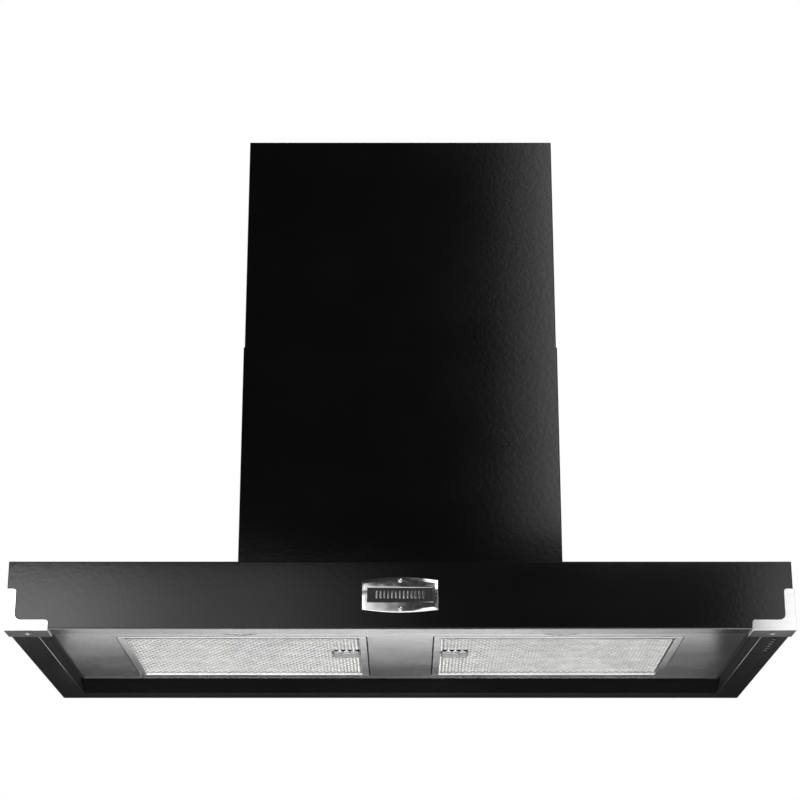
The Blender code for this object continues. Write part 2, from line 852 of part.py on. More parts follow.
def control_box():
    middle = BUTTON_FIRST_Y + BUTTON_PITCH * (BUTTON_COUNT - 1) / 2
    half = BUTTON_PITCH * BUTTON_COUNT / 2 + 0.010
    low = (CONTROL_BOX_X[0], middle - half, CONTROL_BOX_Z[0])
    high = (CONTROL_BOX_X[1], middle + half, CONTROL_BOX_Z[1])
    bevel(add_part("control_box", box_mesh(low, high), "grey plastic"), 0.0015)


# ---------------------------------------------------------------- motor box and blower


def motor_box():
    """A five-sided casing, open to the canopy below."""
    half_x, half_y = MOTOR_BOX[0] / 2, MOTOR_BOX[1] / 2
    box = add_part(
        "motor_box",
        box_mesh((-half_x, -half_y, MOTOR_BOX_BASE), (half_x, half_y, MOTOR_BOX_TOP)),
        "zinc",
    )
    cut(
        box,
        "hollow",
        box_mesh(
            (-half_x + SHEET, -half_y + SHEET, MOTOR_BOX_BASE - 0.01),
            (half_x - SHEET, half_y - SHEET, MOTOR_BOX_TOP - SHEET),
        ),
    )
    outlet = rod_mesh((0, 0, MOTOR_BOX_TOP), "Z", COLLAR_RADIUS - SHEET, 0.02, 48)
    cut(box, "outlet", outlet)


def scroll_outline(inset, top):
    """The blower casing seen from the side: a growing spiral that opens into a straight throat."""
    start, end = SCROLL_CUTOFF, math.radians(270)
    points = []
    for i in range(25):
        angle = start + (end - start) * i / 24
        radius = SCROLL_START + (SCROLL_END - SCROLL_START) * i / 24 - inset
        points.append(
            (FAN_AXIS[0] + radius * math.sin(angle), FAN_AXIS[1] + radius * math.cos(angle))
        )
    first, last = points[0], points[-1]
    return [(first[0], top)] + points + [(last[0], top)]


def blower_scroll():
    """Outlines lie in the YZ plane, so X and Y of the plate turn onto Y and Z."""
    into_yz = Matrix(((0, 0, 1, 0), (1, 0, 0, 0), (0, 1, 0, 0), (0, 0, 0, 1)))
    top = MOTOR_BOX_TOP - SHEET - GAP
    shell = plate_mesh(scroll_outline(0, top), 2 * SCROLL_HALF_WIDTH, into_yz)
    scroll = add_part("blower_scroll", shell, "zinc")
    inside = 2 * (SCROLL_HALF_WIDTH - SCROLL_SHEET)
    cut(scroll, "hollow", plate_mesh(scroll_outline(SCROLL_SHEET, top + 0.01), inside, into_yz))
    cut(
        scroll,
        "inlets",
        rod_mesh((0, *FAN_AXIS), "X", INLET_RADIUS, 4 * SCROLL_HALF_WIDTH, 40),
    )


def impeller():
    """A double-sided squirrel cage: back plate, blades, two end rings and the shaft."""
    centre = (0, *FAN_AXIS)
    fan = add_part(
        "impeller", rod_mesh(centre, "X", FAN_RADIUS - 0.002, 0.003, BLADE_COUNT), "zinc", centre
    )
    blades = []
    for i in range(BLADE_COUNT):
        blade = box_mesh(
            (-FAN_HALF_LENGTH, -BLADE_SHEET / 2, FAN_RADIUS - BLADE_DEPTH),
            (FAN_HALF_LENGTH, BLADE_SHEET / 2, FAN_RADIUS - 0.0005),
        )
        blade.transform(Matrix.Rotation(2 * math.pi * i / BLADE_COUNT, 4, "X"))
        blades.append(blade)
    rings = []
    for end in (-1, 1):
        x = end * (FAN_HALF_LENGTH - 0.001)
        bm = bmesh.new()
        for radius in (FAN_RADIUS, FAN_RADIUS - BLADE_DEPTH + 0.002):
            bmesh.ops.create_circle(bm, segments=BLADE_COUNT, radius=radius)
        bmesh.ops.bridge_loops(bm, edges=bm.edges)
        made = bmesh.ops.extrude_face_region(bm, geom=bm.faces[:])["geom"]
        moved = [v for v in made if isinstance(v, bmesh.types.BMVert)]
        bmesh.ops.translate(bm, verts=moved, vec=(0, 0, 0.003))
        turn = Matrix.Translation((x - 0.0015, 0, 0)) @ Matrix.Rotation(math.pi / 2, 4, "Y")
        bmesh.ops.transform(bm, verts=bm.verts, matrix=turn)
        bmesh.ops.recalc_face_normals(bm, faces=bm.faces)
        rings.append(to_mesh(bm))
    shaft_end = 0.012
    shaft_middle = (SHAFT_END + shaft_end) / 2
    shaft = rod_mesh((shaft_middle, 0, 0), "X", SHAFT_RADIUS, shaft_end - SHAFT_END, 24)
    hub = rod_mesh((0, 0, 0), "X", 0.011, 0.018, 24)
    for name, mesh in (
        ("blades", merged(blades)),
        ("rings", merged(rings)),
        ("hub", hub),
        ("shaft", shaft),
    ):
        join(fan, name, mesh)
        cutters.objects[f"impeller_{name}"].location = centre


def motor():
    """A cylindrical motor on three arms, with a bore for the impeller's shaft."""
    middle = (sum(MOTOR_X) / 2, *FAN_AXIS)
    length = MOTOR_X[1] - MOTOR_X[0]
    body = add_part("motor", rod_mesh(middle, "X", MOTOR_RADIUS, length, 40), "grey plastic")
    bevel(body, 0.003)
    inner_face = -SCROLL_HALF_WIDTH - GAP
    arms = []
    for i in range(3):
        arm = box_mesh(
            (inner_face - 0.005, -MOTOR_ARM[0] / 2, 0.030),
            (inner_face, MOTOR_ARM[0] / 2, MOTOR_ARM[1]),
        )
        turn = Matrix.Rotation(2 * math.pi * i / 3, 4, "X")
        arm.transform(Matrix.Translation((0, *FAN_AXIS)) @ turn)
        arms.append(arm)
    join(body, "arms", merged(arms))
    depth = SHAFT_END - 0.002
    bore_middle = ((depth + MOTOR_X[1] + 0.01) / 2, *FAN_AXIS)
    bore_length = MOTOR_X[1] + 0.01 - depth
    cut(body, "bore", rod_mesh(bore_middle, "X", SHAFT_RADIUS + GAP, bore_length, 24))


def outlet_collar():
    """The duct spigot. Two pairs of small holes carry the flaps' rods."""
    inner = COLLAR_RADIUS - SHEET
    profile = [
        (inner, COLLAR_HEIGHT),
        (COLLAR_RADIUS, COLLAR_HEIGHT),
        (COLLAR_RADIUS, SHEET),
        (COLLAR_FLANGE, SHEET),
        (COLLAR_FLANGE, 0),
        (inner, 0),
    ]
    centre = (0, 0, MOTOR_BOX_TOP + GAP)
    collar = turned("outlet_collar", profile, "zinc", centre, steps=48)
    rods = [
        rod_mesh((sign * FLAP_OFFSET, 0, FLAP_Z), "Y", FLAP_ROD_RADIUS + 0.0003, 0.2, 12)
        for sign in (-1, 1)
    ]
    cut(collar, "rod_holes", merged(rods))


def damper_flap(name, sign):
    """Half of the backdraught damper: a half disc on a rod."""
    edge = FLAP_OFFSET - 0.0005
    reach = math.sqrt(FLAP_RADIUS**2 - edge**2)
    tilt = math.degrees(math.asin(edge / FLAP_RADIUS))
    outline = list(arc((0, 0), FLAP_RADIUS, -90 + tilt, 90 - tilt, 24))
    outline = [(sign * x, y) for x, y in outline]
    rod_axis = (sign * FLAP_OFFSET, 0, FLAP_Z)
    flat = Matrix.Translation((0, 0, FLAP_Z))
    flap = add_part(name, plate_mesh(outline, 0.001, flat), "aluminium", rod_axis)
    length = 2 * (reach + 0.0035)
    join(flap, "rod", rod_mesh((0, 0, 0), "Y", FLAP_ROD_RADIUS, length, 12))
    cutters.objects[f"{name}_rod"].location = rod_axis


def terminal_box():
    """Wiring box on the back of the motor box, open at the back under its lid."""
    face = MOTOR_BOX[1] / 2 + GAP
    back = face + TERMINAL_DEPTH
    wall = 0.0018
    low = (TERMINAL_X[0], face, TERMINAL_Z[0])
    high = (TERMINAL_X[1], back, TERMINAL_Z[1])
    box = add_part("terminal_box", box_mesh(low, high), "black plastic")
    cut(
        box,
        "hollow",
        box_mesh(
            (low[0] + wall, low[1] + wall, low[2] + wall),
            (high[0] - wall, back + 0.01, high[2] - wall),
        ),
    )
    gland_y = (face + back) / 2
    entry = rod_mesh((GLAND_X, gland_y, TERMINAL_Z[1]), "Z", 0.0050, 0.01, 24)
    cut(box, "cable_entry", entry)
    lid = box_mesh((low[0], back + GAP, low[2]), (high[0], back + GAP + 0.002, high[2]))
    bevel(add_part("terminal_lid", lid, "black plastic"), 0.0006)
    gland = [
        (0.0042, 0.018),
        (0.0070, 0.018),
        (0.0085, 0.014),
        (0.0085, 0.006),
        (0.0105, 0.006),
        (0.0105, GAP),
        (0.0042, GAP),
    ]
    centre = (GLAND_X, gland_y, TERMINAL_Z[1])
    turned("cable_gland", gland, "black plastic", centre, steps=24)


# ---------------------------------------------------------------- assembly


clear_scene()
parts = new_collection("island range hood")
cutters = new_collection("cutters")

ceiling_plate()
chimney_and_uprights()
top_panel()
front_panel()
side_panel("left_side_panel", -1)
cut_button_holes(side_panel("right_side_panel", 1))
rear_panel()
front_rail()
lamp_panel()
filter_panel()
for side_name, side_sign in (("left", -1), ("right", 1)):
    corner_bracket(f"corner_bracket_{side_name}", side_sign)
    bracket_screw(f"bracket_screw_{side_name}", side_sign)
badge()
filters()
lamps()
control_buttons()
control_box()
motor_box()
blower_scroll()
motor()
impeller()
outlet_collar()
damper_flap("damper_flap_left", -1)
damper_flap("damper_flap_right", 1)
terminal_box()
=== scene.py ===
"""Looks of the island range hood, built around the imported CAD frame. Metres, +Z up."""

import json
import math

import bmesh
import bpy
from mathutils import Matrix, Vector


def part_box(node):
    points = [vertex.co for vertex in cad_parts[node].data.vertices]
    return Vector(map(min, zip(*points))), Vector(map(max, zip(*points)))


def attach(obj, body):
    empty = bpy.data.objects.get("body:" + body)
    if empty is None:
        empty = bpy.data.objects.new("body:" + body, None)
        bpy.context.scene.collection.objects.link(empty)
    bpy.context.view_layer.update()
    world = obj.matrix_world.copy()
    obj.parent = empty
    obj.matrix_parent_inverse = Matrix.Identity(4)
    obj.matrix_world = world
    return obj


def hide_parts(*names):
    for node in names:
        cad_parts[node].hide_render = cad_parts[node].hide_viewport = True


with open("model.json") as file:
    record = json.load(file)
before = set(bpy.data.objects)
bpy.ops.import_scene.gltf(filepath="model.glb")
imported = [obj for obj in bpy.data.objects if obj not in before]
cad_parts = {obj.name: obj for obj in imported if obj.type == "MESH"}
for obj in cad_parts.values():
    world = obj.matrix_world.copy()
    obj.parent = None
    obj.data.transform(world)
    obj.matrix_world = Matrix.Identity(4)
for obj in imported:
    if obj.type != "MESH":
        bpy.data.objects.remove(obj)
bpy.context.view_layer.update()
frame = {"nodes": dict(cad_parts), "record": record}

AXES = {"X": Vector((1, 0, 0)), "Y": Vector((0, 1, 0)), "Z": Vector((0, 0, 1))}
SIDES = (("left", -1), ("right", 1))

# Places read from the frame. The last two are a small clearance and the sheets' bend radius.
GLASS_LOW, GLASS_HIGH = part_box("front_panel")
RAIL_LOW, RAIL_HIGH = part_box("front_rail")
TOP_LOW, TOP_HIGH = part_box("top_panel")
UNDER = RAIL_LOW.z
FRONT = GLASS_LOW.y
SIDE = TOP_HIGH.x
BACK = TOP_HIGH.y
CANOPY_TOP = TOP_HIGH.z
PANEL_LOW, PANEL_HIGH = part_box("filter_panel")
PANEL_Z = PANEL_LOW.z
SHEET = PANEL_HIGH.z - PANEL_LOW.z
LAMP_STRIP_LOW, LAMP_STRIP_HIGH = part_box("lamp_panel")
FLANGE_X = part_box("right_side_panel")[0].x
GAP = 0.0003
BEND = 0.0016


# ---- shader tools


class Nodes:
    """A material's node tree, with short ways to add and join nodes."""

    def __init__(self, name):
        self.material = bpy.data.materials.new(name)
        self.material.use_nodes = True
        self.tree = self.material.node_tree
        self.shader = self.tree.nodes["Principled BSDF"]
        self.coordinates = self.tree.nodes.new("ShaderNodeTexCoord").outputs["Object"]

    def add(self, kind, inputs=(), **settings):
        node = self.tree.nodes.new(kind)
        for key, value in settings.items():
            setattr(node, key, value)
        for key, value in dict(inputs).items():
            node.inputs[key].default_value = value
        return node

    def link(self, output, socket):
        self.tree.links.new(output, socket)

    def stretched(self, scale, rotation=(0, 0, 0)):
        mapping = self.add("ShaderNodeMapping", {"Scale": scale, "Rotation": rotation})
        self.link(self.coordinates, mapping.inputs["Vector"])
        return mapping.outputs["Vector"]

    def noise(self, scale, detail=3, roughness=0.5, vector=None):
        inputs = {"Scale": scale, "Detail": detail, "Roughness": roughness}
        node = self.add("ShaderNodeTexNoise", inputs)
        self.link(vector or self.coordinates, node.inputs["Vector"])
        return node.outputs["Fac"]

    def cells(self, scale, feature="F1", output="Distance", vector=None):
        node = self.add("ShaderNodeTexVoronoi", {"Scale": scale}, feature=feature)
        self.link(vector or self.coordinates, node.inputs["Vector"])
        return node.outputs[output]

    def spread(self, value, low, high, from_low=0.3, from_high=0.7):
        ends = {"From Min": from_low, "From Max": from_high, "To Min": low, "To Max": high}
        node = self.add("ShaderNodeMapRange", ends)
        self.link(value, node.inputs["Value"])
        return node.outputs["Result"]

    def blend(self, factor, first, second):
        node = self.add("ShaderNodeMix", data_type="RGBA")
        self.link(factor, node.inputs[0])
        for index, colour in ((6, first), (7, second)):
            if isinstance(colour, tuple):
                node.inputs[index].default_value = (*colour, 1)
            else:
                self.link(colour, node.inputs[index])
        return node.outputs[2]

    def maths(self, operation, first, second):
        node = self.add("ShaderNodeMath", operation=operation)
        for index, value in enumerate((first, second)):
            if isinstance(value, (int, float)):
                node.inputs[index].default_value = value
            else:
                self.link(value, node.inputs[index])
        return node.outputs[0]

    def bump(self, height, distance, strength=1.0, under=None):
        node = self.add("ShaderNodeBump", {"Distance": distance, "Strength": strength})
        self.link(height, node.inputs["Height"])
        if under is not None:
            self.link(under, node.inputs["Normal"])
        self.link(node.outputs["Normal"], self.shader.inputs["Normal"])
        return node.outputs["Normal"]

    def base(self, colour):
        self.link(colour, self.shader.inputs["Base Color"])

    def rough(self, value):
        self.link(value, self.shader.inputs["Roughness"])

    def constants(self, **values):
        for name, value in values.items():
            self.shader.inputs[name.replace("_", " ")].default_value = value


# ---- materials


def black_enamel():
    """Gloss black paint with faint orange peel, specks of dust and a few soft smears."""
    m = Nodes("black_enamel")
    tone = m.spread(m.noise(9, 2), 0, 1)
    m.base(m.blend(tone, (0.0024, 0.0024, 0.0026), (0.0040, 0.0040, 0.0043)))
    smear = m.spread(m.noise(3.2, 3, 0.55, m.stretched((1, 1, 2.4))), 0.0, 0.04)
    grain = m.spread(m.noise(900, 2), 0.0, 0.02)
    m.rough(m.maths("ADD", m.maths("ADD", smear, grain), 0.09))
    peel = m.bump(m.noise(170, 2, 0.4), 0.00014, 0.35)
    m.bump(m.noise(1400, 1), 0.00004, 0.35, peel)
    m.constants(IOR=1.5, Coat_Weight=0.25, Coat_Roughness=0.05)
    return m.material


def dull_enamel():
    """The thinner, dusty coat on the walls inside the canopy."""
    m = Nodes("dull_enamel")
    dust = m.noise(60, 3)
    m.base(m.blend(m.spread(dust, 0, 1), (0.0040, 0.0040, 0.0042), (0.0085, 0.0085, 0.0088)))
    m.rough(m.spread(m.noise(700, 2), 0.55, 0.75))
    m.bump(m.noise(900, 2), 0.00008, 0.5)
    m.constants(IOR=1.5, Specular_IOR_Level=0.12)
    return m.material


def brushed_steel(name, light, dark, rough):
    """Rolled stainless sheet brushed along X."""
    m = Nodes(name)
    stretch = (2.5, 700, 700)
    lines = m.noise(1.0, 3, 0.6, m.stretched(stretch))
    fine = m.noise(3.0, 2, 0.6, m.stretched(stretch))
    cloud = m.noise(7, 3, 0.6)
    streaks = m.spread(lines, 0, 1)
    m.base(m.blend(m.maths("MULTIPLY", streaks, m.spread(cloud, 0.7, 1)), dark, light))
    m.rough(m.maths("ADD", m.spread(fine, 0, 0.06), m.spread(cloud, rough, rough + 0.04)))
    under = m.bump(lines, 0.00002, 0.4)
    m.bump(fine, 0.000015, 0.35, under)
    m.constants(Metallic=1.0)
    return m.material


def polished_steel():
    """Bright plated steel with hairline marks and faint haze."""
    m = Nodes("polished_steel")
    hairs = m.noise(1.0, 2, 0.5, m.stretched((40, 900, 900), (0, 0.5, 0.3)))
    haze = m.noise(26, 3)
    m.base(m.blend(m.spread(haze, 0, 1), (0.80, 0.80, 0.80), (0.90, 0.90, 0.89)))
    m.rough(m.maths("ADD", m.spread(hairs, 0.0, 0.05), m.spread(haze, 0.07, 0.13)))
    m.bump(hairs, 0.00001, 0.5)
    m.constants(Metallic=1.0)
    return m.material


def mesh_metal():
    """Expanded aluminium: bright strands, slightly matt and uneven."""
    m = Nodes("mesh_aluminium")
    patches = m.noise(60, 3)
    m.base(m.blend(m.spread(patches, 0, 1), (0.72, 0.72, 0.71), (0.93, 0.93, 0.92)))
    m.rough(m.spread(m.noise(420, 2), 0.26, 0.46))
    m.bump(m.noise(1500, 2), 0.00008, 0.5)
    m.constants(Metallic=1.0)
    return m.material


def frame_metal():
    """Rolled aluminium channel with light roll marks."""
    m = Nodes("rolled_aluminium")
    marks = m.noise(1.0, 2, 0.6, m.stretched((500, 500, 60)))
    cloud = m.noise(14, 3)
    m.base(m.blend(m.spread(cloud, 0, 1), (0.62, 0.62, 0.62), (0.70, 0.70, 0.70)))
    m.rough(m.maths("ADD", m.spread(marks, 0, 0.05), m.spread(cloud, 0.15, 0.19)))
    m.bump(marks, 0.00002, 0.5)
    m.constants(Metallic=1.0)
    return m.material


def galvanised():
    """Zinc-coated sheet: frosted spangles of slightly different grey."""
    m = Nodes("galvanised_steel")
    spangle = m.cells(85, output="Color")
    split = m.add("ShaderNodeSeparateColor")
    m.link(spangle, split.inputs["Color"])
    tone = m.maths("ADD", m.maths("MULTIPLY", split.outputs["Red"], 0.6), m.spread(m.noise(12), 0, 0.4))
    m.base(m.blend(tone, (0.30, 0.31, 0.32), (0.52, 0.53, 0.54)))
    m.rough(m.spread(split.outputs["Green"], 0.34, 0.52, 0, 1))
    m.bump(m.cells(85, "DISTANCE_TO_EDGE"), 0.0001, 0.3)
    m.constants(Metallic=1.0)
    return m.material


def satin_aluminium(
    name="satin_aluminium", light=(0.78, 0.78, 0.77), dark=(0.62, 0.62, 0.61), rough=0.24
):
    m = Nodes(name)
    grain = m.noise(700, 2)
    m.base(m.blend(m.spread(m.noise(40, 3), 0, 1), dark, light))
    m.rough(m.spread(grain, rough, rough + 0.12))
    m.bump(grain, 0.00003, 0.12)
    m.constants(Metallic=1.0)
    return m.material


def badge_chrome():
    """Bright plated metal with a soft ripple from pressing."""
    m = Nodes("badge_chrome")
    ripple = m.noise(38, 1, 0.3, m.stretched((1, 1, 1.8)))
    m.base(m.blend(m.spread(m.noise(60, 2), 0, 1), (0.86, 0.86, 0.87), (0.92, 0.92, 0.92)))
    m.rough(m.spread(m.noise(220, 2), 0.09, 0.13))
    under = m.bump(ripple, 0.0009, 0.6)
    m.bump(m.noise(2400, 1), 0.00001, 0.3, under)
    m.constants(Metallic=1.0)
    return m.material


def moulded_plastic(name, dark, light, rough=0.42):
    """Injection-moulded plastic with a fine spark-eroded texture."""
    m = Nodes(name)
    texture = m.noise(1600, 2)
    m.base(m.blend(m.spread(m.noise(30, 2), 0, 1), dark, light))
    m.rough(m.spread(texture, rough, rough + 0.12))
    m.bump(texture, 0.00006, 0.6)
    m.constants(IOR=1.49)
    return m.material


def painted_casting():
    m = Nodes("painted_casting")
    pits = m.noise(520, 3, 0.6)
    m.base(m.blend(m.spread(m.noise(25, 3), 0, 1), (0.05, 0.052, 0.055), (0.09, 0.092, 0.095)))
    m.rough(m.spread(pits, 0.42, 0.62))
    m.bump(pits, 0.0002, 0.5)
    return m.material


def lamp_glass():
    """Lightly frosted pressed glass."""
    m = Nodes("frosted_glass")
    dimples = m.cells(520)
    m.base(m.blend(m.spread(m.noise(50), 0, 1), (0.90, 0.92, 0.92), (0.98, 0.98, 0.97)))
    m.rough(m.spread(m.noise(300, 2), 0.16, 0.28))
    m.bump(dimples, 0.0003, 0.35)
    m.constants(IOR=1.5, Transmission_Weight=0.85)
    return m.material


def lamp_phosphor():
    """The lamp's yellow-white light-emitting patch, unlit."""
    m = Nodes("lamp_phosphor")
    dots = m.cells(900)
    m.base(m.blend(m.spread(dots, 0, 1, 0.1, 0.6), (0.86, 0.80, 0.48), (0.72, 0.62, 0.25)))
    m.rough(m.spread(m.noise(800), 0.4, 0.6))
    m.bump(dots, 0.0002, 0.4)
    return m.material


BLACK = black_enamel()
STEEL = brushed_steel("brushed_steel", (0.60, 0.60, 0.605), (0.52, 0.52, 0.525), 0.125)
# The front rail is the same brushed stainless as the panels, given a darker colour: painted shade, so that it
# reads darker than the panel.
SHADED_RAIL_STEEL = brushed_steel("rail_steel_painted_darker", (0.34, 0.34, 0.343), (0.28, 0.28, 0.283), 0.15)
CHROME = polished_steel()
MESH = mesh_metal()
RIM = frame_metal()
ZINC = galvanised()
SATIN = satin_aluminium()
BADGE = badge_chrome()
INSET = moulded_plastic("badge_inset", (0.012, 0.012, 0.013), (0.028, 0.028, 0.030), 0.30)
CAP = moulded_plastic("button_cap", (0.014, 0.014, 0.015), (0.024, 0.024, 0.025), 0.30)
# A small light metal dot for the middle of each dark button cap; its light colour stands in for the buttons'
# faint glint: a painted highlight.
GLINT_DOT = satin_aluminium("button_glint_dot", (0.34, 0.345, 0.35), (0.24, 0.245, 0.25))
DULL = dull_enamel()
GREY = moulded_plastic("grey_plastic", (0.16, 0.16, 0.165), (0.22, 0.22, 0.225))
DARK = moulded_plastic("black_plastic", (0.012, 0.012, 0.013), (0.022, 0.022, 0.023))
CASTING = painted_casting()
GLASS = lamp_glass()
PHOSPHOR = lamp_phosphor()


# ---- mesh tools


def to_mesh(bm, name="shape"):
    mesh = bpy.data.meshes.new(name)
    bm.to_mesh(mesh)
    bm.free()
    return mesh


def linked(name, data):
    """A new object in the scene."""
    obj = bpy.data.objects.new(name, data)
    bpy.context.scene.collection.objects.link(obj)
    return obj


def turned(place, axis, flip=False):
    """The matrix that takes a shape made along +Z to a place and along an axis."""
    direction = AXES[axis] * (-1 if flip else 1)
    return Matrix.Translation(place) @ AXES["Z"].rotation_difference(direction).to_matrix().to_4x4()


def box_mesh(low, high, bevel=0.0, segments=2):
    low, high = Vector(low), Vector(high)
    bm = bmesh.new()
    bmesh.ops.create_cube(bm, size=1)
    place = Matrix.Translation((low + high) / 2) @ Matrix.Diagonal((*(high - low), 1))
    bmesh.ops.transform(bm, verts=bm.verts, matrix=place)
    if bevel:
        bmesh.ops.bevel(
            bm, geom=bm.edges[:], offset=bevel, segments=segments, affect="EDGES", profile=0.5
        )
    return to_mesh(bm)


def rod_mesh(centre, axis, radius, length, sides=32):
    bm = bmesh.new()
    bmesh.ops.create_cone(bm, cap_ends=True, segments=sides, radius1=radius, radius2=radius, depth=length)
    bmesh.ops.transform(bm, verts=bm.verts, matrix=turned(centre, axis))
    return to_mesh(bm)


def merged(meshes):
    bm = bmesh.new()
    for mesh in meshes:
        bm.from_mesh(mesh)
        bpy.data.meshes.remove(mesh)
    return to_mesh(bm)


def arc(centre, radius, start, end, steps):
    for i in range(steps + 1):
        angle = math.radians(start + (end - start) * i / steps)
        yield centre[0] + radius * math.cos(angle), centre[1] + radius * math.sin(angle)


def rounded_rectangle(half_x, half_y, radius, steps):
    points = []
    for sign_x, sign_y, start in ((1, 1, 0), (-1, 1, 90), (-1, -1, 180), (1, -1, 270)):
        centre = (sign_x * (half_x - radius), sign_y * (half_y - radius))
        points += arc(centre, radius, start, start + 90, steps)
    return points


def rounded_chain(points, radius, steps=5):
    """An open chain of 2D points with every inner corner turned on an arc."""
    chain = [Vector(points[0])]
    for before, corner, after in zip(points, points[1:], points[2:]):
        corner = Vector(corner)
        first = (Vector(before) - corner).normalized()
        second = (Vector(after) - corner).normalized()
        reach = radius / math.tan(first.angle(second) / 2)
        start, end = corner + first * reach, corner + second * reach
        centre = corner + (first + second).normalized() * math.hypot(radius, reach)
        for i in range(steps + 1):
            spoke = (start - centre).lerp(end - centre, i / steps)
            chain.append(centre + spoke.normalized() * radius)
    chain.append(Vector(points[-1]))
    return chain


PLANES = {
    "XZ": lambda u, v, w: (u, w, v),
    "YZ": lambda u, v, w: (w, u, v),
    "XY": lambda u, v, w: (u, v, w),
}


def grid_faces(bm, rows, close_row=False, close_rings=False):
    """Quads between equal rows of vertices."""
    count = len(rows[0])
    pairs = list(zip(rows, rows[1:]))
    if close_rings:
        pairs.append((rows[-1], rows[0]))
    for first, second in pairs:
        for i in range(count if close_row else count - 1):
            j = (i + 1) % count
            bm.faces.new((first[i], first[j], second[j], second[i]))


def strip_mesh(chain, plane, start, end, closed=False):
    """A chain of 2D points swept straight from start to end."""
    bm = bmesh.new()
    rows = [[bm.verts.new(PLANES[plane](u, v, w)) for u, v in chain] for w in (start, end)]
    grid_faces(bm, rows, close_row=closed)
    return to_mesh(bm)


def ring_mesh(rings, capped=False, closed=False):
    """Rings of points, each joined to the next. capped closes both ends with flat faces."""
    bm = bmesh.new()
    rows = [[bm.verts.new(p) for p in ring] for ring in rings]
    grid_faces(bm, rows, close_row=True, close_rings=closed)
    if capped:
        bm.faces.new(rows[0])
        bm.faces.new(rows[-1])
    bmesh.ops.recalc_face_normals(bm, faces=bm.faces)
    return to_mesh(bm)


def lathe_mesh(profile, centre, axis="Z", flip=False, steps=48):
    """(radius, height) pairs turned about an axis. Open ends on the axis are closed by fans."""
    turn = turned(centre, axis, flip)
    bm = bmesh.new()
    rows = []
    for radius, height in profile:
        if radius == 0:
            rows.append([bm.verts.new(turn @ Vector((0, 0, height)))] * steps)
            continue
        spokes = [2 * math.pi * i / steps for i in range(steps)]
        rows.append(
            [
                bm.verts.new(turn @ Vector((radius * math.cos(a), radius * math.sin(a), height)))
                for a in spokes
            ]
        )
    loops = list(zip(rows, rows[1:]))
    if profile[0][0] > 0 and profile[-1][0] > 0:
        loops.append((rows[-1], rows[0]))
    for first, second in loops:
        for i in range(steps):
            j = (i + 1) % steps
            corners = []
            for vert in (first[i], first[j], second[j], second[i]):
                if vert not in corners:
                    corners.append(vert)
            if len(corners) > 2:
                bm.faces.new(corners)
    bmesh.ops.recalc_face_normals(bm, faces=bm.faces)
    return to_mesh(bm)


def smooth(obj, angle=32):
    obj.data.shade_smooth()
    obj.data.set_sharp_from_angle(angle=math.radians(angle))


def piece(name, mesh, material, body, stands_for=(), angle=32):
    """One visual piece that rides on a body, in the material it is given, hiding the CAD parts it stands for.
    """
    mesh.name = name
    mesh.materials.clear()
    mesh.materials.append(material)
    obj = linked(name, mesh)
    smooth(obj, angle)
    flat = obj.modifiers.new("flat_faces", "WEIGHTED_NORMAL")
    flat.keep_sharp = True
    flat.weight = 80
    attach(obj, body)
    if stands_for:
        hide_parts(*stands_for)
    return obj


def shaped(mesh, thickness=0.0, offset=1, cuts=(), joins=(), rim=0.0, segments=2, angle=50):
    """Thickens, cuts, joins and bevels a mesh, and returns the finished mesh."""
    obj = linked("work", mesh)
    helpers = []
    if thickness:
        modifier = obj.modifiers.new("sheet", "SOLIDIFY")
        modifier.thickness = thickness
        modifier.offset = offset
        modifier.use_even_offset = True
    for operation, shapes in (("UNION", joins), ("DIFFERENCE", cuts)):
        for shape in shapes:
            helper = linked("helper", shape)
            helpers.append(helper)
            modifier = obj.modifiers.new("combine", "BOOLEAN")
            modifier.operation = operation
            modifier.object = helper
    if rim:
        modifier = obj.modifiers.new("rim", "BEVEL")
        modifier.width = rim
        modifier.segments = segments
        modifier.limit_method = "ANGLE"
        modifier.angle_limit = math.radians(angle)
        modifier.use_clamp_overlap = True
    graph = bpy.context.evaluated_depsgraph_get()
    done = bpy.data.meshes.new_from_object(obj.evaluated_get(graph))
    for used in [obj, *helpers]:
        bpy.data.objects.remove(used, do_unlink=True)
    return done


# ---- camera, stage and light


def camera():
    """Below the canopy and in front of it, looking up."""
    data = bpy.data.cameras.new("camera")
    data.sensor_width = 36
    data.lens = CAMERA_LENS
    data.shift_x = CAMERA_SHIFT[0]
    data.shift_y = CAMERA_SHIFT[1]
    obj = linked("camera", data)
    obj.location = CAMERA_PLACE
    obj.rotation_euler = (math.radians(90 + CAMERA_PITCH), 0, 0)
    bpy.context.scene.camera = obj


CAMERA_PLACE = (0.005, -2.93, UNDER - 0.612)
CAMERA_PITCH = 18.2
CAMERA_LENS = 89.2
CAMERA_SHIFT = (-0.0046, 0.055)


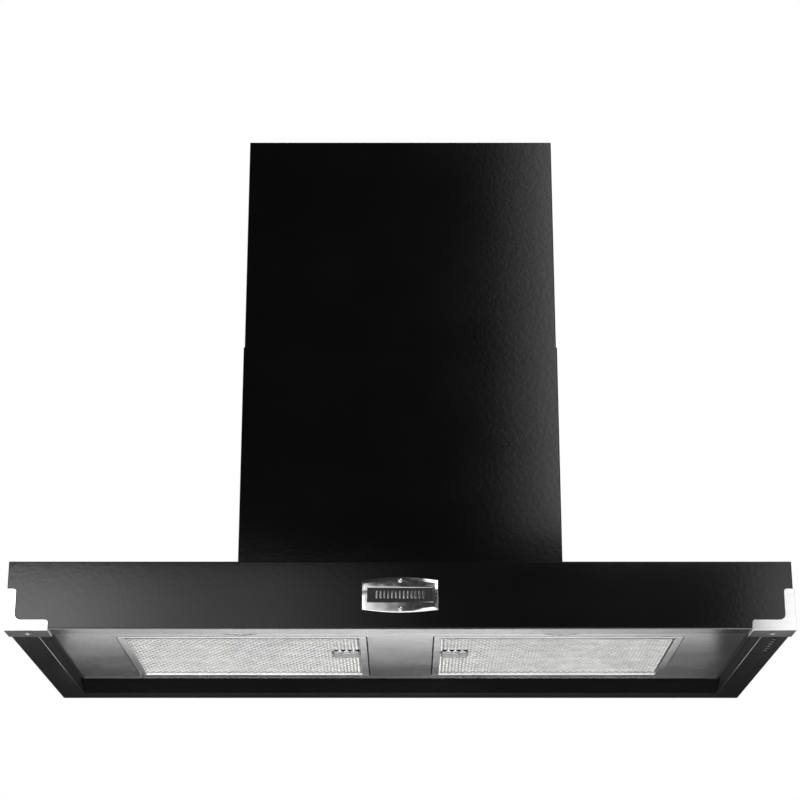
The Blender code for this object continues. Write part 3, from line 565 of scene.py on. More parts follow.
def glow_card(name, centre, size, aim, levels):
    """A card seen only in reflections. Its brightness runs through levels from side to side."""
    half_u, half_v = size[0] / 2, size[1] / 2
    turn = (Vector(aim) - Vector(centre)).to_track_quat("Z", "Y").to_matrix().to_4x4()
    bm = bmesh.new()
    bmesh.ops.create_grid(bm, x_segments=1, y_segments=1, size=1)
    bmesh.ops.scale(bm, vec=(half_u, half_v, 1), verts=bm.verts)
    mesh = to_mesh(bm, name)
    card = linked(name, mesh)
    card.matrix_world = Matrix.Translation(centre) @ turn
    m = Nodes(name)
    split = m.add("ShaderNodeSeparateXYZ")
    m.link(m.coordinates, split.inputs[0])
    along = m.spread(split.outputs[0], 0, 1, -half_u, half_u)
    ramp = m.add("ShaderNodeValToRGB")
    m.link(along, ramp.inputs[0])
    elements = ramp.color_ramp.elements
    while len(elements) < len(levels):
        elements.new(0.5)
    for i, (place, level) in enumerate(levels):
        elements[i].position = place
        elements[i].color = (level, level, level, 1)
    glow = m.add("ShaderNodeEmission")
    m.link(ramp.outputs[0], glow.inputs["Color"])
    facing = m.add("ShaderNodeNewGeometry")
    m.link(m.maths("SUBTRACT", 1, facing.outputs["Backfacing"]), glow.inputs["Strength"])
    m.link(glow.outputs[0], m.tree.nodes["Material Output"].inputs["Surface"])
    mesh.materials.append(m.material)
    card.visible_camera = False
    card.visible_shadow = False


def area_light(name, place, aim, size, power):
    data = bpy.data.lights.new(name, "AREA")
    data.shape = "RECTANGLE"
    data.size, data.size_y = size
    data.energy = power
    obj = linked(name, data)
    obj.location = place
    obj.rotation_euler = (Vector(aim) - Vector(place)).to_track_quat("-Z", "Y").to_euler()
    obj.visible_camera = False
    obj.visible_glossy = False


# Each card's name, middle, size, the point it faces, and its brightness from side to side.
# The bounce and sky cards are for views from above and from the side, the others for the main view.
LOW = UNDER - 1.08
FRONT_LEFT = [
    (0, 0.0), (0.02, 0.12), (0.07, 0.24), (0.14, 0.5), (0.21, 0.85), (0.28, 0.95),
    (0.35, 1.2), (0.42, 1.95), (0.48, 2.8), (0.55, 3.2), (1, 3.6),
]
BEHIND = [(0, 1.3), (0.14, 1.8), (0.3, 2.3), (0.7, 2.4), (0.86, 1.9), (1, 1.2)]
RIGHT_HIGH = [(0, 3.4), (0.66, 3.2), (0.77, 1.9), (0.86, 0.6), (0.97, 0.0)]
RIGHT_LOW = [(0, 1.5), (0.83, 1.35), (0.89, 0.8), (0.95, 0.2), (1, 0.0)]
FRONT_LOW = [(0, 0.6), (0.35, 1.8), (0.7, 0.5), (1, 1.6)]
BOUNCE = [(0, 0.42), (0.5, 0.6), (1, 0.42)]
FLANK = [(0, 0.9), (0.5, 0.7), (1, 0.3)]
SKY = [(0, 0.5), (0.5, 1.3), (1, 0.6)]
CARDS = (
    ("bounce_front", (0, -3.9, LOW), (16, 8.4), (0, -3.9, 0), BOUNCE),
    ("bounce_back_left", (-3.7, 2.5, LOW), (5.0, 3.4), (-3.7, 2.5, 0), BOUNCE),
    ("bounce_back_right", (3.7, 2.5, LOW), (5.0, 3.4), (3.7, 2.5, 0), BOUNCE),
    ("bounce_left", (-4.4, 0.2, -0.5), (2.6, 2.4), (0, 0.2, -0.5), FLANK),
    ("sky_left", (-3.6, 1.6, 1.3), (2.8, 1.8), (0, 0, -0.5), SKY),
    ("bounce_right", (4.4, 0.2, -0.5), (2.6, 2.4), (0, 0.2, -0.5), FLANK),
    ("sky_right", (3.6, 1.6, 1.3), (2.8, 1.8), (0, 0, -0.5), SKY),
    ("bounce_back", (0.2, 4.6, 0.4), (3.6, 1.6), (0, 0, 0.2), [(0, 0.8), (1, 0.5)]),
    ("card_behind_below", (-0.02, 0.84, UNDER - 0.262), (1.26, 0.092), (-0.02, 0, UNDER - 0.262), BEHIND),
    ("card_below", (0, -0.25, UNDER - 1.0), (2.2, 1.3), (0, -0.25, UNDER), [(0, 2.9), (0.45, 3.1), (1, 4.6)]),
    ("card_front_left", (-1.01, -3.2, -0.27), (2.18, 0.68), (-1.01, 0, -0.27), FRONT_LEFT),
    ("card_front_right_high", (0.85, -3.2, 1.17), (1.2, 1.90), (0.85, 0, 1.17), RIGHT_HIGH),
    ("card_front_right_low", (1.40, -3.2, -0.25), (0.9, 0.70), (1.40, 0, -0.25), RIGHT_LOW),
    ("card_front_low", (0, -3.2, UNDER - 0.05), (1.6, 0.44), (0, 0, UNDER - 0.05), FRONT_LOW),
)


def stage_and_light():
    scene = bpy.context.scene
    scene.view_settings.view_transform = "Standard"
    world = bpy.data.worlds.new("studio")
    scene.world = world
    world.use_nodes = True
    tree = world.node_tree
    plain = tree.nodes["Background"]
    plain.inputs["Color"].default_value = (0.022, 0.0225, 0.023, 1)
    white = tree.nodes.new("ShaderNodeBackground")
    white.inputs["Color"].default_value = (1, 1, 1, 1)
    path = tree.nodes.new("ShaderNodeLightPath")
    mix = tree.nodes.new("ShaderNodeMixShader")
    tree.links.new(path.outputs["Is Camera Ray"], mix.inputs[0])
    tree.links.new(plain.outputs[0], mix.inputs[1])
    tree.links.new(white.outputs[0], mix.inputs[2])
    tree.links.new(mix.outputs[0], tree.nodes["World Output"].inputs["Surface"])

    m = Nodes("studio_floor")
    m.base(m.blend(m.spread(m.noise(0.8, 2), 0, 1), (0.050, 0.050, 0.049), (0.060, 0.060, 0.059)))
    m.rough(m.spread(m.noise(40, 2), 0.6, 0.7))
    m.constants(Emission_Color=(1, 1, 0.995, 1))
    away = m.add("ShaderNodeVectorMath", operation="LENGTH")
    m.link(m.coordinates, away.inputs[0])
    m.link(m.spread(away.outputs["Value"], 0.82, 1.0, 3.0, 26.0), m.shader.inputs["Emission Strength"])
    bm = bmesh.new()
    bmesh.ops.create_grid(bm, x_segments=1, y_segments=1, size=300)
    floor = linked("floor", to_mesh(bm, "floor"))
    floor.location.z = UNDER - 1.1
    floor.data.materials.append(m.material)
    floor.visible_glossy = False
    floor.visible_diffuse = False

    for name, centre, size, aim, levels in CARDS:
        glow_card(name, centre, size, aim, levels)
    area_light("fill_back", (1.4, 3.2, 1.2), (0, 0, -0.4), (2.2, 2.0), 70)
    area_light("fill_left", (-3.0, 0.9, 0.8), (0, 0, -0.4), (1.8, 1.8), 60)
    area_light("fill_right", (3.0, 0.9, 0.8), (0, 0, -0.4), (1.8, 1.8), 60)
    area_light("fill_top", (0, 0.5, 2.3), (0, 0, 0), (2.4, 1.6), 60)


# ---- canopy sheets


def canopy():
    mesh = box_mesh(GLASS_LOW, GLASS_HIGH, 0.0011, 4)
    piece("front_panel_skin", mesh, BLACK, "canopy", ["front_panel"])

    inner = Vector(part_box("motor_box")[0]) + Vector((0.004, 0.004, 0))
    hole = box_mesh((inner.x, inner.y, CANOPY_TOP - 0.01), (-inner.x, -inner.y, CANOPY_TOP + 0.01))
    lid = shaped(box_mesh(TOP_LOW, TOP_HIGH), cuts=[hole], rim=0.0003, segments=3)
    piece("top_panel_skin", lid, BLACK, "canopy", ["top_panel"])

    for side, sign in SIDES:
        low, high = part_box(f"{side}_side_panel")
        wall_top = high.z
        chain = rounded_chain(
            [
                (sign * SIDE, wall_top), (sign * SIDE, UNDER), (sign * FLANGE_X, UNDER),
                (sign * FLANGE_X, PANEL_Z - GAP),
            ],
            BEND,
        )
        edges = sorted((sign * (FLANGE_X - 0.01), sign * (SIDE - SHEET)))
        notch = box_mesh(
            (edges[0], low.y - 0.01, UNDER - 0.01),
            (edges[1], RAIL_HIGH.y + GAP, PANEL_Z + 0.01),
        )
        cuts = [notch]
        if sign > 0:
            cuts.append(merged([rod_mesh((*c, UNDER), "Z", BUTTON_HOLE, 0.01) for c in BUTTONS]))
        mesh = shaped(strip_mesh(chain, "XZ", low.y, high.y), SHEET, -sign, cuts, rim=0.0002)
        piece(f"{side}_side_skin", mesh, BLACK, "canopy", [f"{side}_side_panel"])
        mesh.materials.append(DULL)
        for face in mesh.polygons:
            if face.normal.x * sign < -0.7 and abs(face.center.x) < FLANGE_X + 0.004:
                face.material_index = 1

    low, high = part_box("rear_panel")
    chain = rounded_chain(
        [(BACK, high.z), (BACK, UNDER), (BACK - (SIDE - FLANGE_X), UNDER), (PANEL_HIGH.y + GAP, PANEL_Z)],
        BEND,
    )
    corners = [
        box_mesh(
            (min(s * (FLANGE_X - GAP), s * SIDE * 1.1), PANEL_HIGH.y - 0.01, UNDER - 0.01),
            (max(s * (FLANGE_X - GAP), s * SIDE * 1.1), BACK - SHEET, PANEL_Z + 0.01),
        )
        for _, s in SIDES
    ]
    mesh = shaped(strip_mesh(chain, "YZ", low.x, high.x), SHEET, 1, [merged(corners)], rim=0.0002)
    piece("rear_skin", mesh, BLACK, "canopy", ["rear_panel"])

    chain = rounded_chain([(FRONT, UNDER), (RAIL_HIGH.y, UNDER), (RAIL_HIGH.y, PANEL_Z - GAP)], BEND)
    holes = merged([rod_mesh((s * SCREW_X, SCREW_Y, UNDER), "Z", 0.0024, 0.01) for _, s in SIDES])
    mesh = shaped(strip_mesh(chain, "YZ", RAIL_LOW.x, RAIL_HIGH.x), SHEET, -1, [holes], rim=0.0002)
    # The rail takes the darker copy of the stainless: painted shade.
    piece("front_rail_skin", mesh, SHADED_RAIL_STEEL, "canopy", ["front_rail"])


BUTTONS = []
for number in range(1, 7):
    cap_low, cap_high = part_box(f"button_{number}")
    BUTTONS.append(((cap_low.x + cap_high.x) / 2, (cap_low.y + cap_high.y) / 2))
BUTTON_RADIUS = 0.0038
BUTTON_HOLE = BUTTON_RADIUS + 0.0006
SCREW_LOW, SCREW_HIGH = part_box("bracket_screw_right")
SCREW_X = (SCREW_LOW.x + SCREW_HIGH.x) / 2
SCREW_Y = (SCREW_LOW.y + SCREW_HIGH.y) / 2


def filter_window(sign, grow):
    rim_low, rim_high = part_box("filter_frame_right")
    x = sorted((sign * (rim_low.x - grow), sign * (FILTER_OUTER + grow)))
    return (x[0], rim_low.y - grow), (x[1], rim_high.y + grow)


FILTER_OUTER = next(
    abs(j["pos_m"][0]) for j in frame["record"]["behaviour"]["joints"] if j["name"] == "filter_right_swing"
)


def underside_panels():
    """The raised steel sheets: a strip for the lamps and a panel with two filter windows."""
    holes = merged(
        [rod_mesh((s * LAMP[0], LAMP[1], PANEL_Z), "Z", LAMP_HOLE, 0.01, 64) for _, s in SIDES]
    )
    mesh = shaped(box_mesh(LAMP_STRIP_LOW, LAMP_STRIP_HIGH), cuts=[holes], rim=0.00025, segments=3)
    piece("lamp_strip", mesh, STEEL, "canopy", ["lamp_panel"])

    windows = []
    for _, sign in SIDES:
        low, high = filter_window(sign, 0.0014)
        windows.append(box_mesh((*low, PANEL_Z - 0.01), (*high, PANEL_Z + 0.01)))
    mesh = shaped(box_mesh(PANEL_LOW, PANEL_HIGH), cuts=[merged(windows)], rim=0.0003, segments=3)
    piece("filter_panel_skin", mesh, STEEL, "canopy", ["filter_panel"])


LAMP_LOW, LAMP_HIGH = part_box("lamp_bezel_right")
LAMP = ((LAMP_LOW.x + LAMP_HIGH.x) / 2, (LAMP_LOW.y + LAMP_HIGH.y) / 2)
LAMP_RADIUS = (LAMP_HIGH.x - LAMP_LOW.x) / 2
LAMP_HOLE = LAMP_RADIUS - 0.0035


# ---- chimney


def chimney(name, node, body):
    """Two folded halves that meet in a seam down the middle of each side."""
    low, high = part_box(node)
    outline = rounded_rectangle(high.x, high.y, 0.002, 6)
    seams = []
    for _, sign in SIDES:
        x = sorted((sign * (high.x - SHEET / 2), sign * (high.x + 0.01)))
        seams.append(box_mesh((x[0], -0.0004, low.z - 0.01), (x[1], 0.0004, high.z + 0.01)))
    mesh = shaped(
        strip_mesh(outline, "XY", low.z, high.z, closed=True),
        SHEET,
        -1,
        [merged(seams)],
        rim=0.0003,
        segments=3,
    )
    piece(name, mesh, BLACK, body, [node])


def pan_screw(place, axis, flip, radius=0.0034, height=0.0017):
    """A domed screw head with a cross recess."""
    dome = [(0, height)]
    dome += [
        (radius * math.sin(a), height * math.cos(a) ** 0.7)
        for a in (math.pi / 2 * i / 7 for i in range(1, 7))
    ]
    dome += [(radius, 0.0002), (radius, -0.0004), (0, -0.0004)]
    head = lathe_mesh(dome, (0, 0, 0), steps=28)
    width, reach, deep = 0.00035, radius * 0.55, height * 0.55
    recess = [
        box_mesh((-reach, -width, height - deep), (reach, width, height + 0.01)),
        box_mesh((-width, -reach, height - deep), (width, reach, height + 0.01)),
    ]
    head = shaped(head, cuts=recess)
    head.transform(turned(place, axis, flip))
    return head


def fixings():
    """Screws in the two chimney covers and the lid, and the uprights' clamp bolts."""
    upper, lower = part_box("upper_chimney")[1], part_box("lower_chimney")
    top_row, foot_row = upper.z - 0.018, lower[0].z + 0.018
    pairs = [(s, y) for _, s in SIDES for y in (-0.02, 0.02)]
    heads = [pan_screw((s * upper.x, y, top_row), "X", s < 0) for s, y in pairs]
    piece("upper_chimney_screws", merged(heads), BLACK, "ceiling_frame")
    heads = [pan_screw((s * lower[1].x, y, foot_row), "X", s < 0) for s, y in pairs]
    piece("lower_chimney_screws", merged(heads), BLACK, "canopy")
    places = [(x, BACK - 0.012) for x in (-0.50, -0.25, 0, 0.25, 0.50)]
    places += [(s * (SIDE - 0.012), y) for _, s in SIDES for y in (-0.16, 0.04)]
    heads = [pan_screw((*place, CANOPY_TOP), "Z", False) for place in places]
    piece("lid_screws", merged(heads), BLACK, "canopy")

    bolts = []
    for side, sign in SIDES:
        for end in ("front", "back"):
            low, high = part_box(f"lower_upright_{end}_{side}")
            inner = (high.x if sign > 0 else -low.x) - 0.0015
            for drop in (0.012, 0.036):
                place = (sign * inner, (low.y + high.y) / 2, high.z - drop)
                bolts.append(hex_bolt(place, "X", sign > 0))
    piece("clamp_bolts", merged(bolts), ZINC, "canopy")


def hex_bolt(place, axis, flip):
    """A six-sided head with a chamfered top on a washer."""
    disc = [(0, 0), (0.0055, 0), (0.0055, 0.0008), (0.0052, 0.0010), (0, 0.0010)]
    washer = lathe_mesh(disc, (0, 0, 0), steps=24)
    head = rod_mesh((0, 0, 0.0026), "Z", 0.0042, 0.0034, 6)
    head = shaped(head, rim=0.0004, angle=30)
    both = merged([washer, head])
    both.transform(turned(place, axis, flip))
    return both


# ---- brackets and badge


def bracket_surface(low, high, sheet):
    """The left bracket's inner skin: two L shapes and a bottom plate that share the corner's edges."""
    corner = Vector((low.x, low.y, low.z)) + Vector((sheet, sheet, sheet))
    size = high - low - Vector((sheet, sheet, sheet))
    arm, tip, fillet = 0.0134, 0.004, 0.008

    def l_shape(length):
        bend = arm + fillet
        yield from ((0, 0), (length, 0))
        yield from arc((length - tip, arm - tip), tip, 0, 90, 6)
        yield from arc((bend, bend), fillet, 270, 180, 8)
        yield from arc((arm - tip, size.z - tip), tip, 0, 90, 6)
        yield 0, size.z

    bm = bmesh.new()
    front = [bm.verts.new(corner + Vector((u, 0, v))) for u, v in l_shape(size.x)]
    side = [bm.verts.new(corner + Vector((0, u, v))) for u, v in l_shape(size.y)]
    flat = [(0, 0), (0, size.y)]
    flat += reversed(list(arc((size.x - tip, size.y - tip), tip, 0, 90, 6)))
    flat.append((size.x, 0))
    under = [bm.verts.new(corner + Vector((u, v, 0))) for u, v in flat]
    for ring in (front, side[::-1], under):
        bm.faces.new(ring)
    bmesh.ops.remove_doubles(bm, verts=bm.verts, dist=1e-6)
    return to_mesh(bm)


def brackets():
    sheet = 0.0015
    low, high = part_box("corner_bracket_left")
    for side, sign in SIDES:
        mesh = bracket_surface(low, high, sheet)
        cone = bmesh.new()
        bmesh.ops.create_cone(
            cone, cap_ends=True, segments=48, radius1=0.0052, radius2=0.0024, depth=0.004
        )
        bmesh.ops.translate(cone, verts=cone.verts, vec=(-SCREW_X, SCREW_Y, UNDER - 0.0008))
        mesh = shaped(mesh, sheet, 1, [to_mesh(cone)], rim=0.0004, segments=3, angle=40)
        if sign > 0:
            mesh.transform(Matrix.Scale(-1, 4, (1, 0, 0)))
            mesh.flip_normals()
        piece(f"bracket_{side}", mesh, CHROME, "canopy", [f"corner_bracket_{side}"])
        place = (sign * SCREW_X, SCREW_Y, UNDER)
        head = [(0, 0.0019), (0.0030, 0.0019), (0.0037, 0.0017), (0.0019, 0.0002)]
        head += [(0.0019, -0.009), (0, -0.009)]
        cross = merged_cross(place, 0.0019, 0.0016)
        mesh = shaped(lathe_mesh(head, place, flip=True, steps=40), cuts=cross, rim=0.00012)
        piece(
            f"bracket_screw_head_{side}",
            mesh,
            CHROME,
            "canopy",
            [f"bracket_screw_{side}"],
        )


def merged_cross(place, drop, reach):
    """The two arms of a cross recess in a screw head that faces down."""
    x, y, z = place
    width, deep = 0.0003, 0.0008
    bottom, top = z - drop - 0.001, z - drop + deep
    return [
        box_mesh((x - reach, y - width, bottom), (x + reach, y + width, top)),
        box_mesh((x - width, y - reach, bottom), (x + width, y + reach, top)),
    ]


def badge():
    """A blank, domed plate with a raised rim, a dark inset and two screws."""
    low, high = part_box("badge_plate")
    half_x, middle_z = high.x, (low.z + high.z) / 2
    half_z = (high.z - low.z) / 2
    end_z = half_z - 0.0043
    back, front = high.y, low.y

    def reach(x):
        return end_z + (half_z - end_z) * math.sin(math.pi * (x / half_x + 1) / 2)

    def skin(u, v, inset, depth):
        x = u * (half_x - inset)
        z = v * (reach(x) - inset)
        return Vector((x, depth, middle_z + z))

    steps = 40
    outline = [(-1 + 2 * i / steps, 1) for i in range(steps + 1)]
    outline += [(1, 1 - 2 * i / 12) for i in range(1, 12)]
    outline += [(1 - 2 * i / steps, -1) for i in range(steps + 1)]
    outline += [(-1, -1 + 2 * i / 12) for i in range(1, 12)]

    def crown(u, v):
        """How far the face falls back from its middle."""
        return 0.0002 + 0.0015 * u * u + 0.0006 * v * v

    rings = [[skin(u, v, 0, back) for u, v in outline]]
    rings.append([skin(u, v, 0, front + crown(u, v) + 0.0008) for u, v in outline])
    for inset, proud in ((0.0001, -0.0005), (0.0004, -0.0002), (0.0009, 0), (0.0018, 0)):
        rings.append([skin(u, v, inset, front + crown(u, v) - proud) for u, v in outline])
    inset_low, inset_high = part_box("badge_inset")
    window = Vector((inset_high.x + GAP, 0, (inset_high.z - inset_low.z) / 2 + GAP))

    def towards_window(u, v, share, sink=0.0):
        edge = skin(u, v, 0.0036, 0)
        place = edge.lerp(Vector((u * window.x, 0, middle_z + v * window.z)), share)
        fall = crown(place.x / half_x, (place.z - middle_z) / half_z)
        return Vector((place.x, front + fall + sink, place.z))

    for share in (0, 0.2, 0.4, 0.6, 0.8, 0.95):
        rings.append([towards_window(u, v, share) for u, v in outline])
    rings.append([towards_window(u, v, 1, 0.0002) for u, v in outline])
    rings.append([Vector((p.x, inset_high.y + 0.0008, p.z)) for p in rings[-1]])
    plate = ring_mesh(rings, capped=True)
    piece("badge_face", plate, BADGE, "canopy", ["badge_plate"], angle=28)

    ribs = []
    middle = (inset_low.z + inset_high.z) / 2
    for i in range(13):
        x = 0.0054 * (i - 6)
        near = (x - 0.0013, inset_low.y + 0.0002, middle - 0.0052)
        far = (x + 0.0013, inset_low.y + 0.0012, middle + 0.0052)
        ribs.append(box_mesh(near, far, 0.0003, 3))
    mesh = box_mesh(inset_low, inset_high, 0.0003)
    for vert in mesh.vertices:
        vert.co.y += 0.0007 + 0.0009 * (vert.co.x / half_x) ** 2
    piece("badge_window", mesh, INSET, "canopy", ["badge_inset"])
    piece("badge_ribs", merged(ribs), BADGE, "canopy")
    for place in ("upper", "lower"):
        low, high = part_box(f"badge_screw_{place}")
        radius, height = (high.x - low.x) / 2, high.y - low.y
        centre = ((low.x + high.x) / 2, high.y, (low.z + high.z) / 2)
        dome = [(0, height)]
        dome += [
            (radius * math.sin(a), height * math.cos(a) ** 0.8)
            for a in (math.pi / 2 * i / 8 for i in range(1, 8))
        ]
        dome += [(radius, 0.0001), (radius, 0), (0, 0)]
        mesh = lathe_mesh(dome, centre, "Y", flip=True, steps=32)
        piece(f"badge_dome_{place}", mesh, CHROME, "canopy", [f"badge_screw_{place}"])


# ---- filters


def filter_rings(low, high, profile, corner):
    """A closed profile of (inset, height) pairs carried round a rounded rectangle."""
    centre = (low + high) / 2
    half = (high - low) / 2
    rings = []
    for inset, height in profile:
        radius = max(corner - inset, 0.0004)
        ring = rounded_rectangle(half.x - inset, half.y - inset, radius, 5)
        rings.append([Vector((centre.x + x, centre.y + y, height)) for x, y in ring])
    return rings


def expanded_mesh(low, high, z, long_pitch, short_pitch, width, thickness):
    """Slit and stretched sheet: zigzag strands that meet at their bonds."""
    size_u, size_v = high.x - low.x, high.y - low.y
    rows = int(size_v / (short_pitch / 2))
    periods = int(size_u / long_pitch)
    long_pitch = size_u / periods
    row_step = size_v / rows
    flat = 0.18
    pattern = ((0.0, 1), (flat, 1), (0.5, -1), (0.5 + flat, -1))
    tilt = math.radians(34)
    across = Vector((0, math.cos(tilt), math.sin(tilt))) * width / 2
    through = Vector((0, -math.sin(tilt), math.cos(tilt))) * thickness / 2
    verts, faces = [], []
    for row in range(rows):
        base = (row + 0.5) * row_step
        sway = (row_step / 2 - width * 0.30) * (1 if row % 2 else -1)
        path = []
        for period in range(periods):
            for share, side in pattern:
                path.append(((period + share) * long_pitch, base + side * sway, side))
        path.append((size_u, base + sway, 1))
        start = len(verts)
        for u, v, side in path:
            lift = 0.00045 * side * (1 if row % 2 else -1)
            centre = Vector((u, v, z + lift))
            for corner in (-across - through, across - through, across + through, -across + through):
                p = centre + corner
                p.y = min(max(p.y, 0), size_v)
                verts.append((low.x + p.x, low.y + p.y, p.z))
        for i in range(len(path) - 1):
            a, b = start + 4 * i, start + 4 * (i + 1)
            for k in range(4):
                n = (k + 1) % 4
                faces.append((a + k, a + n, b + n, b + k))
        faces.append(tuple(start + k for k in range(4))[::-1])
        end = start + 4 * (len(path) - 1)
        faces.append(tuple(end + k for k in range(4)))
    mesh = bpy.data.meshes.new("strands")
    mesh.from_pydata(verts, [], faces)
    return mesh


def filters():
    for side, sign in SIDES:
        body = f"filter_{side}"
        low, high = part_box(f"filter_frame_{side}")
        x = sorted((sign * FILTER_OUTER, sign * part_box("filter_frame_right")[0].x))
        low = Vector((x[0], low.y, low.z))
        high = Vector((x[1], high.y, high.z))
        base, top, rim = low.z, high.z, 0.011
        channel = [
            (0.0001, base + 0.0002), (0.0004, base), (rim - 0.0014, base),
            (rim - 0.0005, base + 0.0003), (rim, base + 0.0010), (rim, base + 0.0017),
            (rim - 0.0010, base + 0.0017), (rim - 0.0016, base + 0.0011), (0.0014, base + 0.0011),
            (0.0012, base + 0.0014), (0.0012, top - 0.0012), (0.0016, top - 0.0010),
            (rim - 0.0004, top - 0.0010), (rim, top - 0.0008), (rim - 0.0004, top), (0.0012, top),
            (0.0003, top - 0.0004), (0.0, top - 0.0012), (0.0, base + 0.0006),
        ]
        frame_ring = ring_mesh(filter_rings(low, high, channel, 0.0030), closed=True)
        slot = latch_opening(side, sign)
        lugs = []
        lug_low = PANEL_HIGH.z + 0.0006
        for side_y in (-1, 1):
            y = (low.y + high.y) / 2 + side_y * 0.085
            lug_x = sorted((sign * (FILTER_OUTER - 0.0008), sign * (FILTER_OUTER + 0.006)))
            lugs.append(
                box_mesh((lug_x[0], y - 0.010, lug_low), (lug_x[1], y + 0.010, lug_low + 0.0012), 0.0003)
            )
        mesh = shaped(frame_ring, cuts=[slot], joins=[merged(lugs)])
        piece(f"filter_channel_{side}", mesh, RIM, body, [f"filter_frame_{side}"])

        pad_low, pad_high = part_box(f"filter_mesh_{side}")
        tray_low, tray_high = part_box(f"handle_tray_{side}")
        gap = box_mesh(
            (tray_low.x - 0.0004, tray_low.y - 0.0004, pad_low.z - 0.01),
            (tray_high.x + 0.0004, tray_high.y + 0.0004, pad_high.z + 0.01),
        )
        face = expanded_mesh(pad_low, pad_high, pad_low.z + 0.0012, 0.0102, 0.0166, 0.0019, 0.0006)
        face = without_box(face, gap)
        piece(f"filter_weave_{side}", face, MESH, body, [f"filter_mesh_{side}"])
        middle = expanded_mesh(pad_low, pad_high, pad_low.z + 0.0040, 0.0104, 0.0056, 0.0011, 0.0005)
        piece(f"filter_weave_middle_{side}", without_box(middle, gap), MESH, body)
        bpy.data.meshes.remove(gap)
        handle(side, sign, body)


def without_box(mesh, box):
    """Cuts a box-shaped opening in the strands and closes their open ends."""
    low = Vector(map(min, zip(*(v.co for v in box.vertices))))
    high = Vector(map(max, zip(*(v.co for v in box.vertices))))
    bm = bmesh.new()
    bm.from_mesh(mesh)
    bpy.data.meshes.remove(mesh)
    doomed = [v for v in bm.verts if all(low[i] < v.co[i] < high[i] for i in range(3))]
    bmesh.ops.delete(bm, geom=doomed, context="VERTS")
    open_edges = [e for e in bm.edges if e.is_boundary]
    bmesh.ops.holes_fill(bm, edges=open_edges, sides=8)
    bmesh.ops.recalc_face_normals(bm, faces=bm.faces)
    return to_mesh(bm)


def latch_opening(side, sign):
    """The slot in the rim that the latch tongue passes through."""
    tray_low, tray_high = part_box(f"handle_tray_{side}")
    rim_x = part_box("filter_frame_right")[0].x
    x = sorted((sign * (rim_x - 0.002), sign * (rim_x + 0.014)))
    y = (tray_low.y + tray_high.y) / 2
    z = tray_low.z + 0.0029
    return box_mesh((x[0], y - 0.0055, z), (x[1], y + 0.0055, z + 0.0028))


def handle(side, sign, body):
    """The pressed tray with its rolled edge, and the sprung latch that slides in it."""
    low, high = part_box(f"handle_tray_{side}")
    base, top = low.z, high.z
    profile = [
        (0.0001, base + 0.0001), (0.0003, base), (0.0011, base), (0.0016, base + 0.0003),
        (0.0019, base + 0.0010), (0.0028, top - 0.0016), (0.0034, top - 0.0010),
        (0.0044, top - 0.0007),
    ]
    rings = filter_rings(low, high, profile, 0.0042)
    cup = ring_mesh(rings)
    bm = bmesh.new()
    bm.from_mesh(cup)
    bm.verts.ensure_lookup_table()
    bm.faces.new([bm.verts[i] for i in range(len(bm.verts) - 24, len(bm.verts))])
    bmesh.ops.recalc_face_normals(bm, faces=bm.faces)
    if sum(f.normal.z * f.calc_area() for f in bm.faces) > 0:
        bmesh.ops.reverse_faces(bm, faces=bm.faces)
    cup = to_mesh(bm)
    mesh = shaped(cup, 0.0006, -1, [latch_opening(side, sign)])
    piece(f"finger_tray_{side}", mesh, RIM, body, [f"handle_tray_{side}"])

    low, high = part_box(f"filter_latch_{side}")
    y = (low.y + high.y) / 2
    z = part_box(f"handle_tray_{side}")[0].z + 0.0034
    grip = sorted((sign * 0.066, sign * 0.0878))
    plate = box_mesh((grip[0], y - 0.010, z), (grip[1], y + 0.010, z + 0.0018), 0.0004)
    tip = sorted((sign * (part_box("filter_frame_right")[0].x + 0.0004), sign * 0.070))
    tongue = box_mesh((tip[0], y - 0.005, z + 0.0001), (tip[1], y + 0.005, z + 0.0017), 0.0003)
    lip_x = [(0.0830, z + 0.0009), (0.0884, z + 0.0009), (0.0889, low.z + 0.0002)]
    lip = rounded_chain([(sign * u, v) for u, v in lip_x], 0.0012, 4)
    lip = shaped(strip_mesh(lip, "XZ", y - 0.008, y + 0.008), 0.0009, 0, rim=0.0002)
    mesh = shaped(plate, joins=[tongue, lip])
    start = Vector((sign * 0.0790, y - 0.0088, z - 0.0006))
    end = Vector((sign * 0.0872, y + 0.0094, z - 0.0014))
    middle = (start + end) / 2 + Vector((0, 0, -0.0004))
    wire = rounded_wire([start, middle, end], 0.0007)
    piece(f"latch_wire_{side}", wire, CHROME, f"latch_{side}")
    piece(
        f"latch_plate_{side}", mesh, CHROME, f"latch_{side}", [f"filter_latch_{side}"]
    )


# ---- lamps and buttons


def rounded_wire(points, radius, sides=10):
    """A round wire through points, with domed ends."""
    start, end = points[0], points[-1]
    line = (end - start).normalized()
    across = line.cross(Vector((0, 0, 1))).normalized()
    over = across.cross(line)
    stations = [(points[0] - line * radius * 0.5, 0.5), (points[0], 1.0)]
    stations += [(p, 1.0) for p in points[1:]]
    stations.append((points[-1] + line * radius * 0.5, 0.5))
    rings = []
    for place, share in stations:
        ring = []
        for i in range(sides):
            angle = 2 * math.pi * i / sides
            ring.append(place + (across * math.cos(angle) + over * math.sin(angle)) * radius * share)
        rings.append(ring)
    return ring_mesh(rings, capped=True)


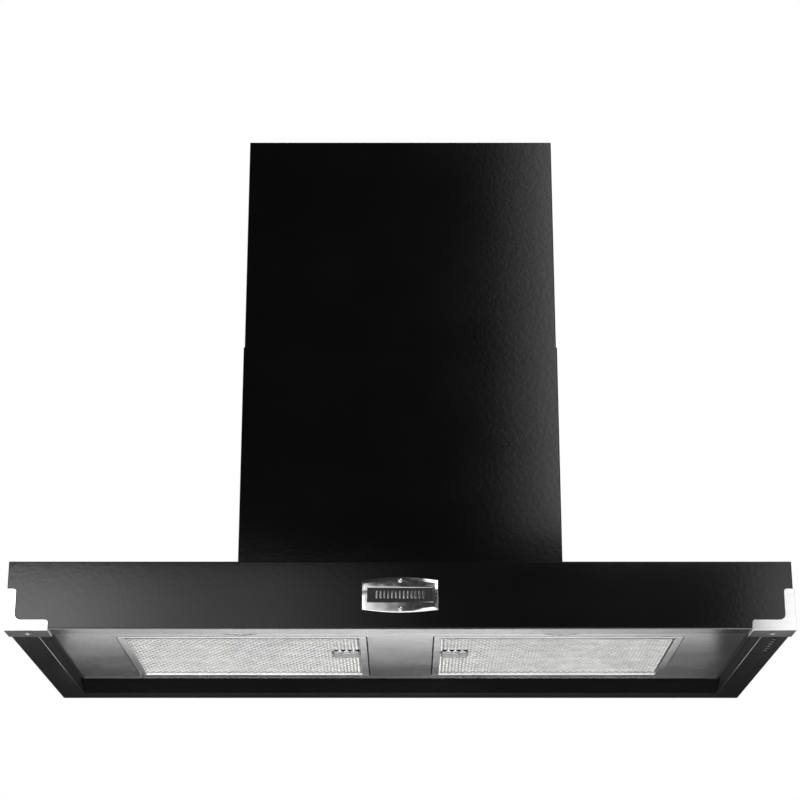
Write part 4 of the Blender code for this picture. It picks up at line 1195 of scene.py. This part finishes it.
def lamps():
    for side, sign in SIDES:
        centre = (sign * LAMP[0], LAMP[1], PANEL_Z)
        low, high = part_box(f"lamp_bezel_{side}")
        outer, down, up = LAMP_RADIUS, PANEL_Z - low.z, high.z - PANEL_Z
        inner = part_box(f"lamp_lens_{side}")[1].x - centre[0] + 0.0004
        bezel = [
            (inner, up), (inner + 0.0009, up), (inner + 0.0009, -GAP), (outer - 0.0002, -GAP),
            (outer, -GAP - 0.0002), (outer, -0.0008), (outer - 0.0004, -0.0012),
            (outer - 0.0016, -down + 0.0002), (outer - 0.0030, -down), (inner + 0.0009, -down),
            (inner + 0.0002, -down + 0.0003), (inner, -down + 0.0008),
        ]
        mesh = lathe_mesh(bezel, centre, steps=72)
        piece(f"lamp_ring_{side}", mesh, CHROME, "canopy", [f"lamp_bezel_{side}"])
        low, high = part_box(f"lamp_lens_{side}")
        radius, bottom, top = (high.x - low.x) / 2, PANEL_Z - low.z, high.z - PANEL_Z
        lens = [(0, top), (radius, top), (radius, -0.0005), (radius - 0.0006, -0.0009)]
        for i in range(1, 12):
            r = (radius - 0.0012) * (1 - i / 12)
            lens.append((r, -bottom + 0.0003 * (r / radius) ** 2 + 0.00012 * (i % 2)))
        lens.append((0, -bottom))
        mesh = lathe_mesh(lens, centre, steps=64)
        piece(f"lamp_glass_{side}", mesh, GLASS, "canopy", [f"lamp_lens_{side}"])
        disc = [(0, 0.0120), (0.018, 0.0120), (0.018, 0.0105), (0.0172, 0.0100), (0, 0.0100)]
        mesh = lathe_mesh(disc, centre, steps=48)
        piece(f"lamp_emitter_{side}", mesh, PHOSPHOR, "canopy")
        cone = [(0.0185, 0.0108)] + [
            (0.0185 + 0.0115 * i / 6, 0.0108 - 0.0075 * (i / 6) ** 1.4) for i in range(1, 7)
        ]
        cone += [(r + 0.0005, h + 0.0005) for r, h in reversed(cone)]
        mesh = lathe_mesh(cone, centre, steps=48)
        piece(f"lamp_reflector_{side}", mesh, CHROME, "canopy")


def buttons():
    for number, (x, y) in enumerate(BUTTONS, 1):
        low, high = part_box(f"button_{number}")
        proud, radius = UNDER - low.z, BUTTON_RADIUS
        cap = [
            (0, high.z - UNDER), (0.0018, high.z - UNDER), (0.0018, SHEET + 0.0014),
            (0.0050, SHEET + 0.0014), (0.0050, SHEET + GAP), (radius, SHEET + GAP),
            (radius, -proud + 0.0006), (radius - 0.0002, -proud + 0.0002),
            (radius - 0.0006, -proud), (radius - 0.0011, -proud + 0.0001),
            (radius * 0.5, -proud + 0.0003), (0, -proud + 0.0004),
        ]
        mesh = lathe_mesh(cap, (x, y, UNDER), steps=40)
        piece(f"button_cap_{number}", mesh, CAP, f"push_{number}", [f"button_{number}"])
        # The light dot on the cap: a painted highlight for the button's glint.
        dot = [(0, 0.0006), (0.0013, 0.0006), (0.0013, 0.0001), (0.0010, -0.0002), (0, -0.0003)]
        mesh = lathe_mesh(dot, (x, y, UNDER - proud + 0.0003), steps=24)
        piece(f"button_glint_dot_{number}", mesh, GLINT_DOT, f"push_{number}")


# ---- carried-over nodes

CARRIED = {
    "zinc": ZINC,
    "aluminium": SATIN,
    "grey_plastic": GREY,
    "black_plastic": DARK,
    "motor_casing": CASTING,
}


def carried_nodes():
    slots = {row["node"]: row["material_slot"] for row in frame["record"]["subparts"]}
    for node, slot in slots.items():
        if slot in CARRIED:
            obj = frame["nodes"][node]
            for material_slot in obj.material_slots:
                material_slot.material = CARRIED[slot]


camera()
stage_and_light()
canopy()
underside_panels()
chimney("upper_chimney_cover", "upper_chimney", "ceiling_frame")
chimney("lower_chimney_cover", "lower_chimney", "canopy")
fixings()
brackets()
badge()
filters()
lamps()
buttons()
carried_nodes()
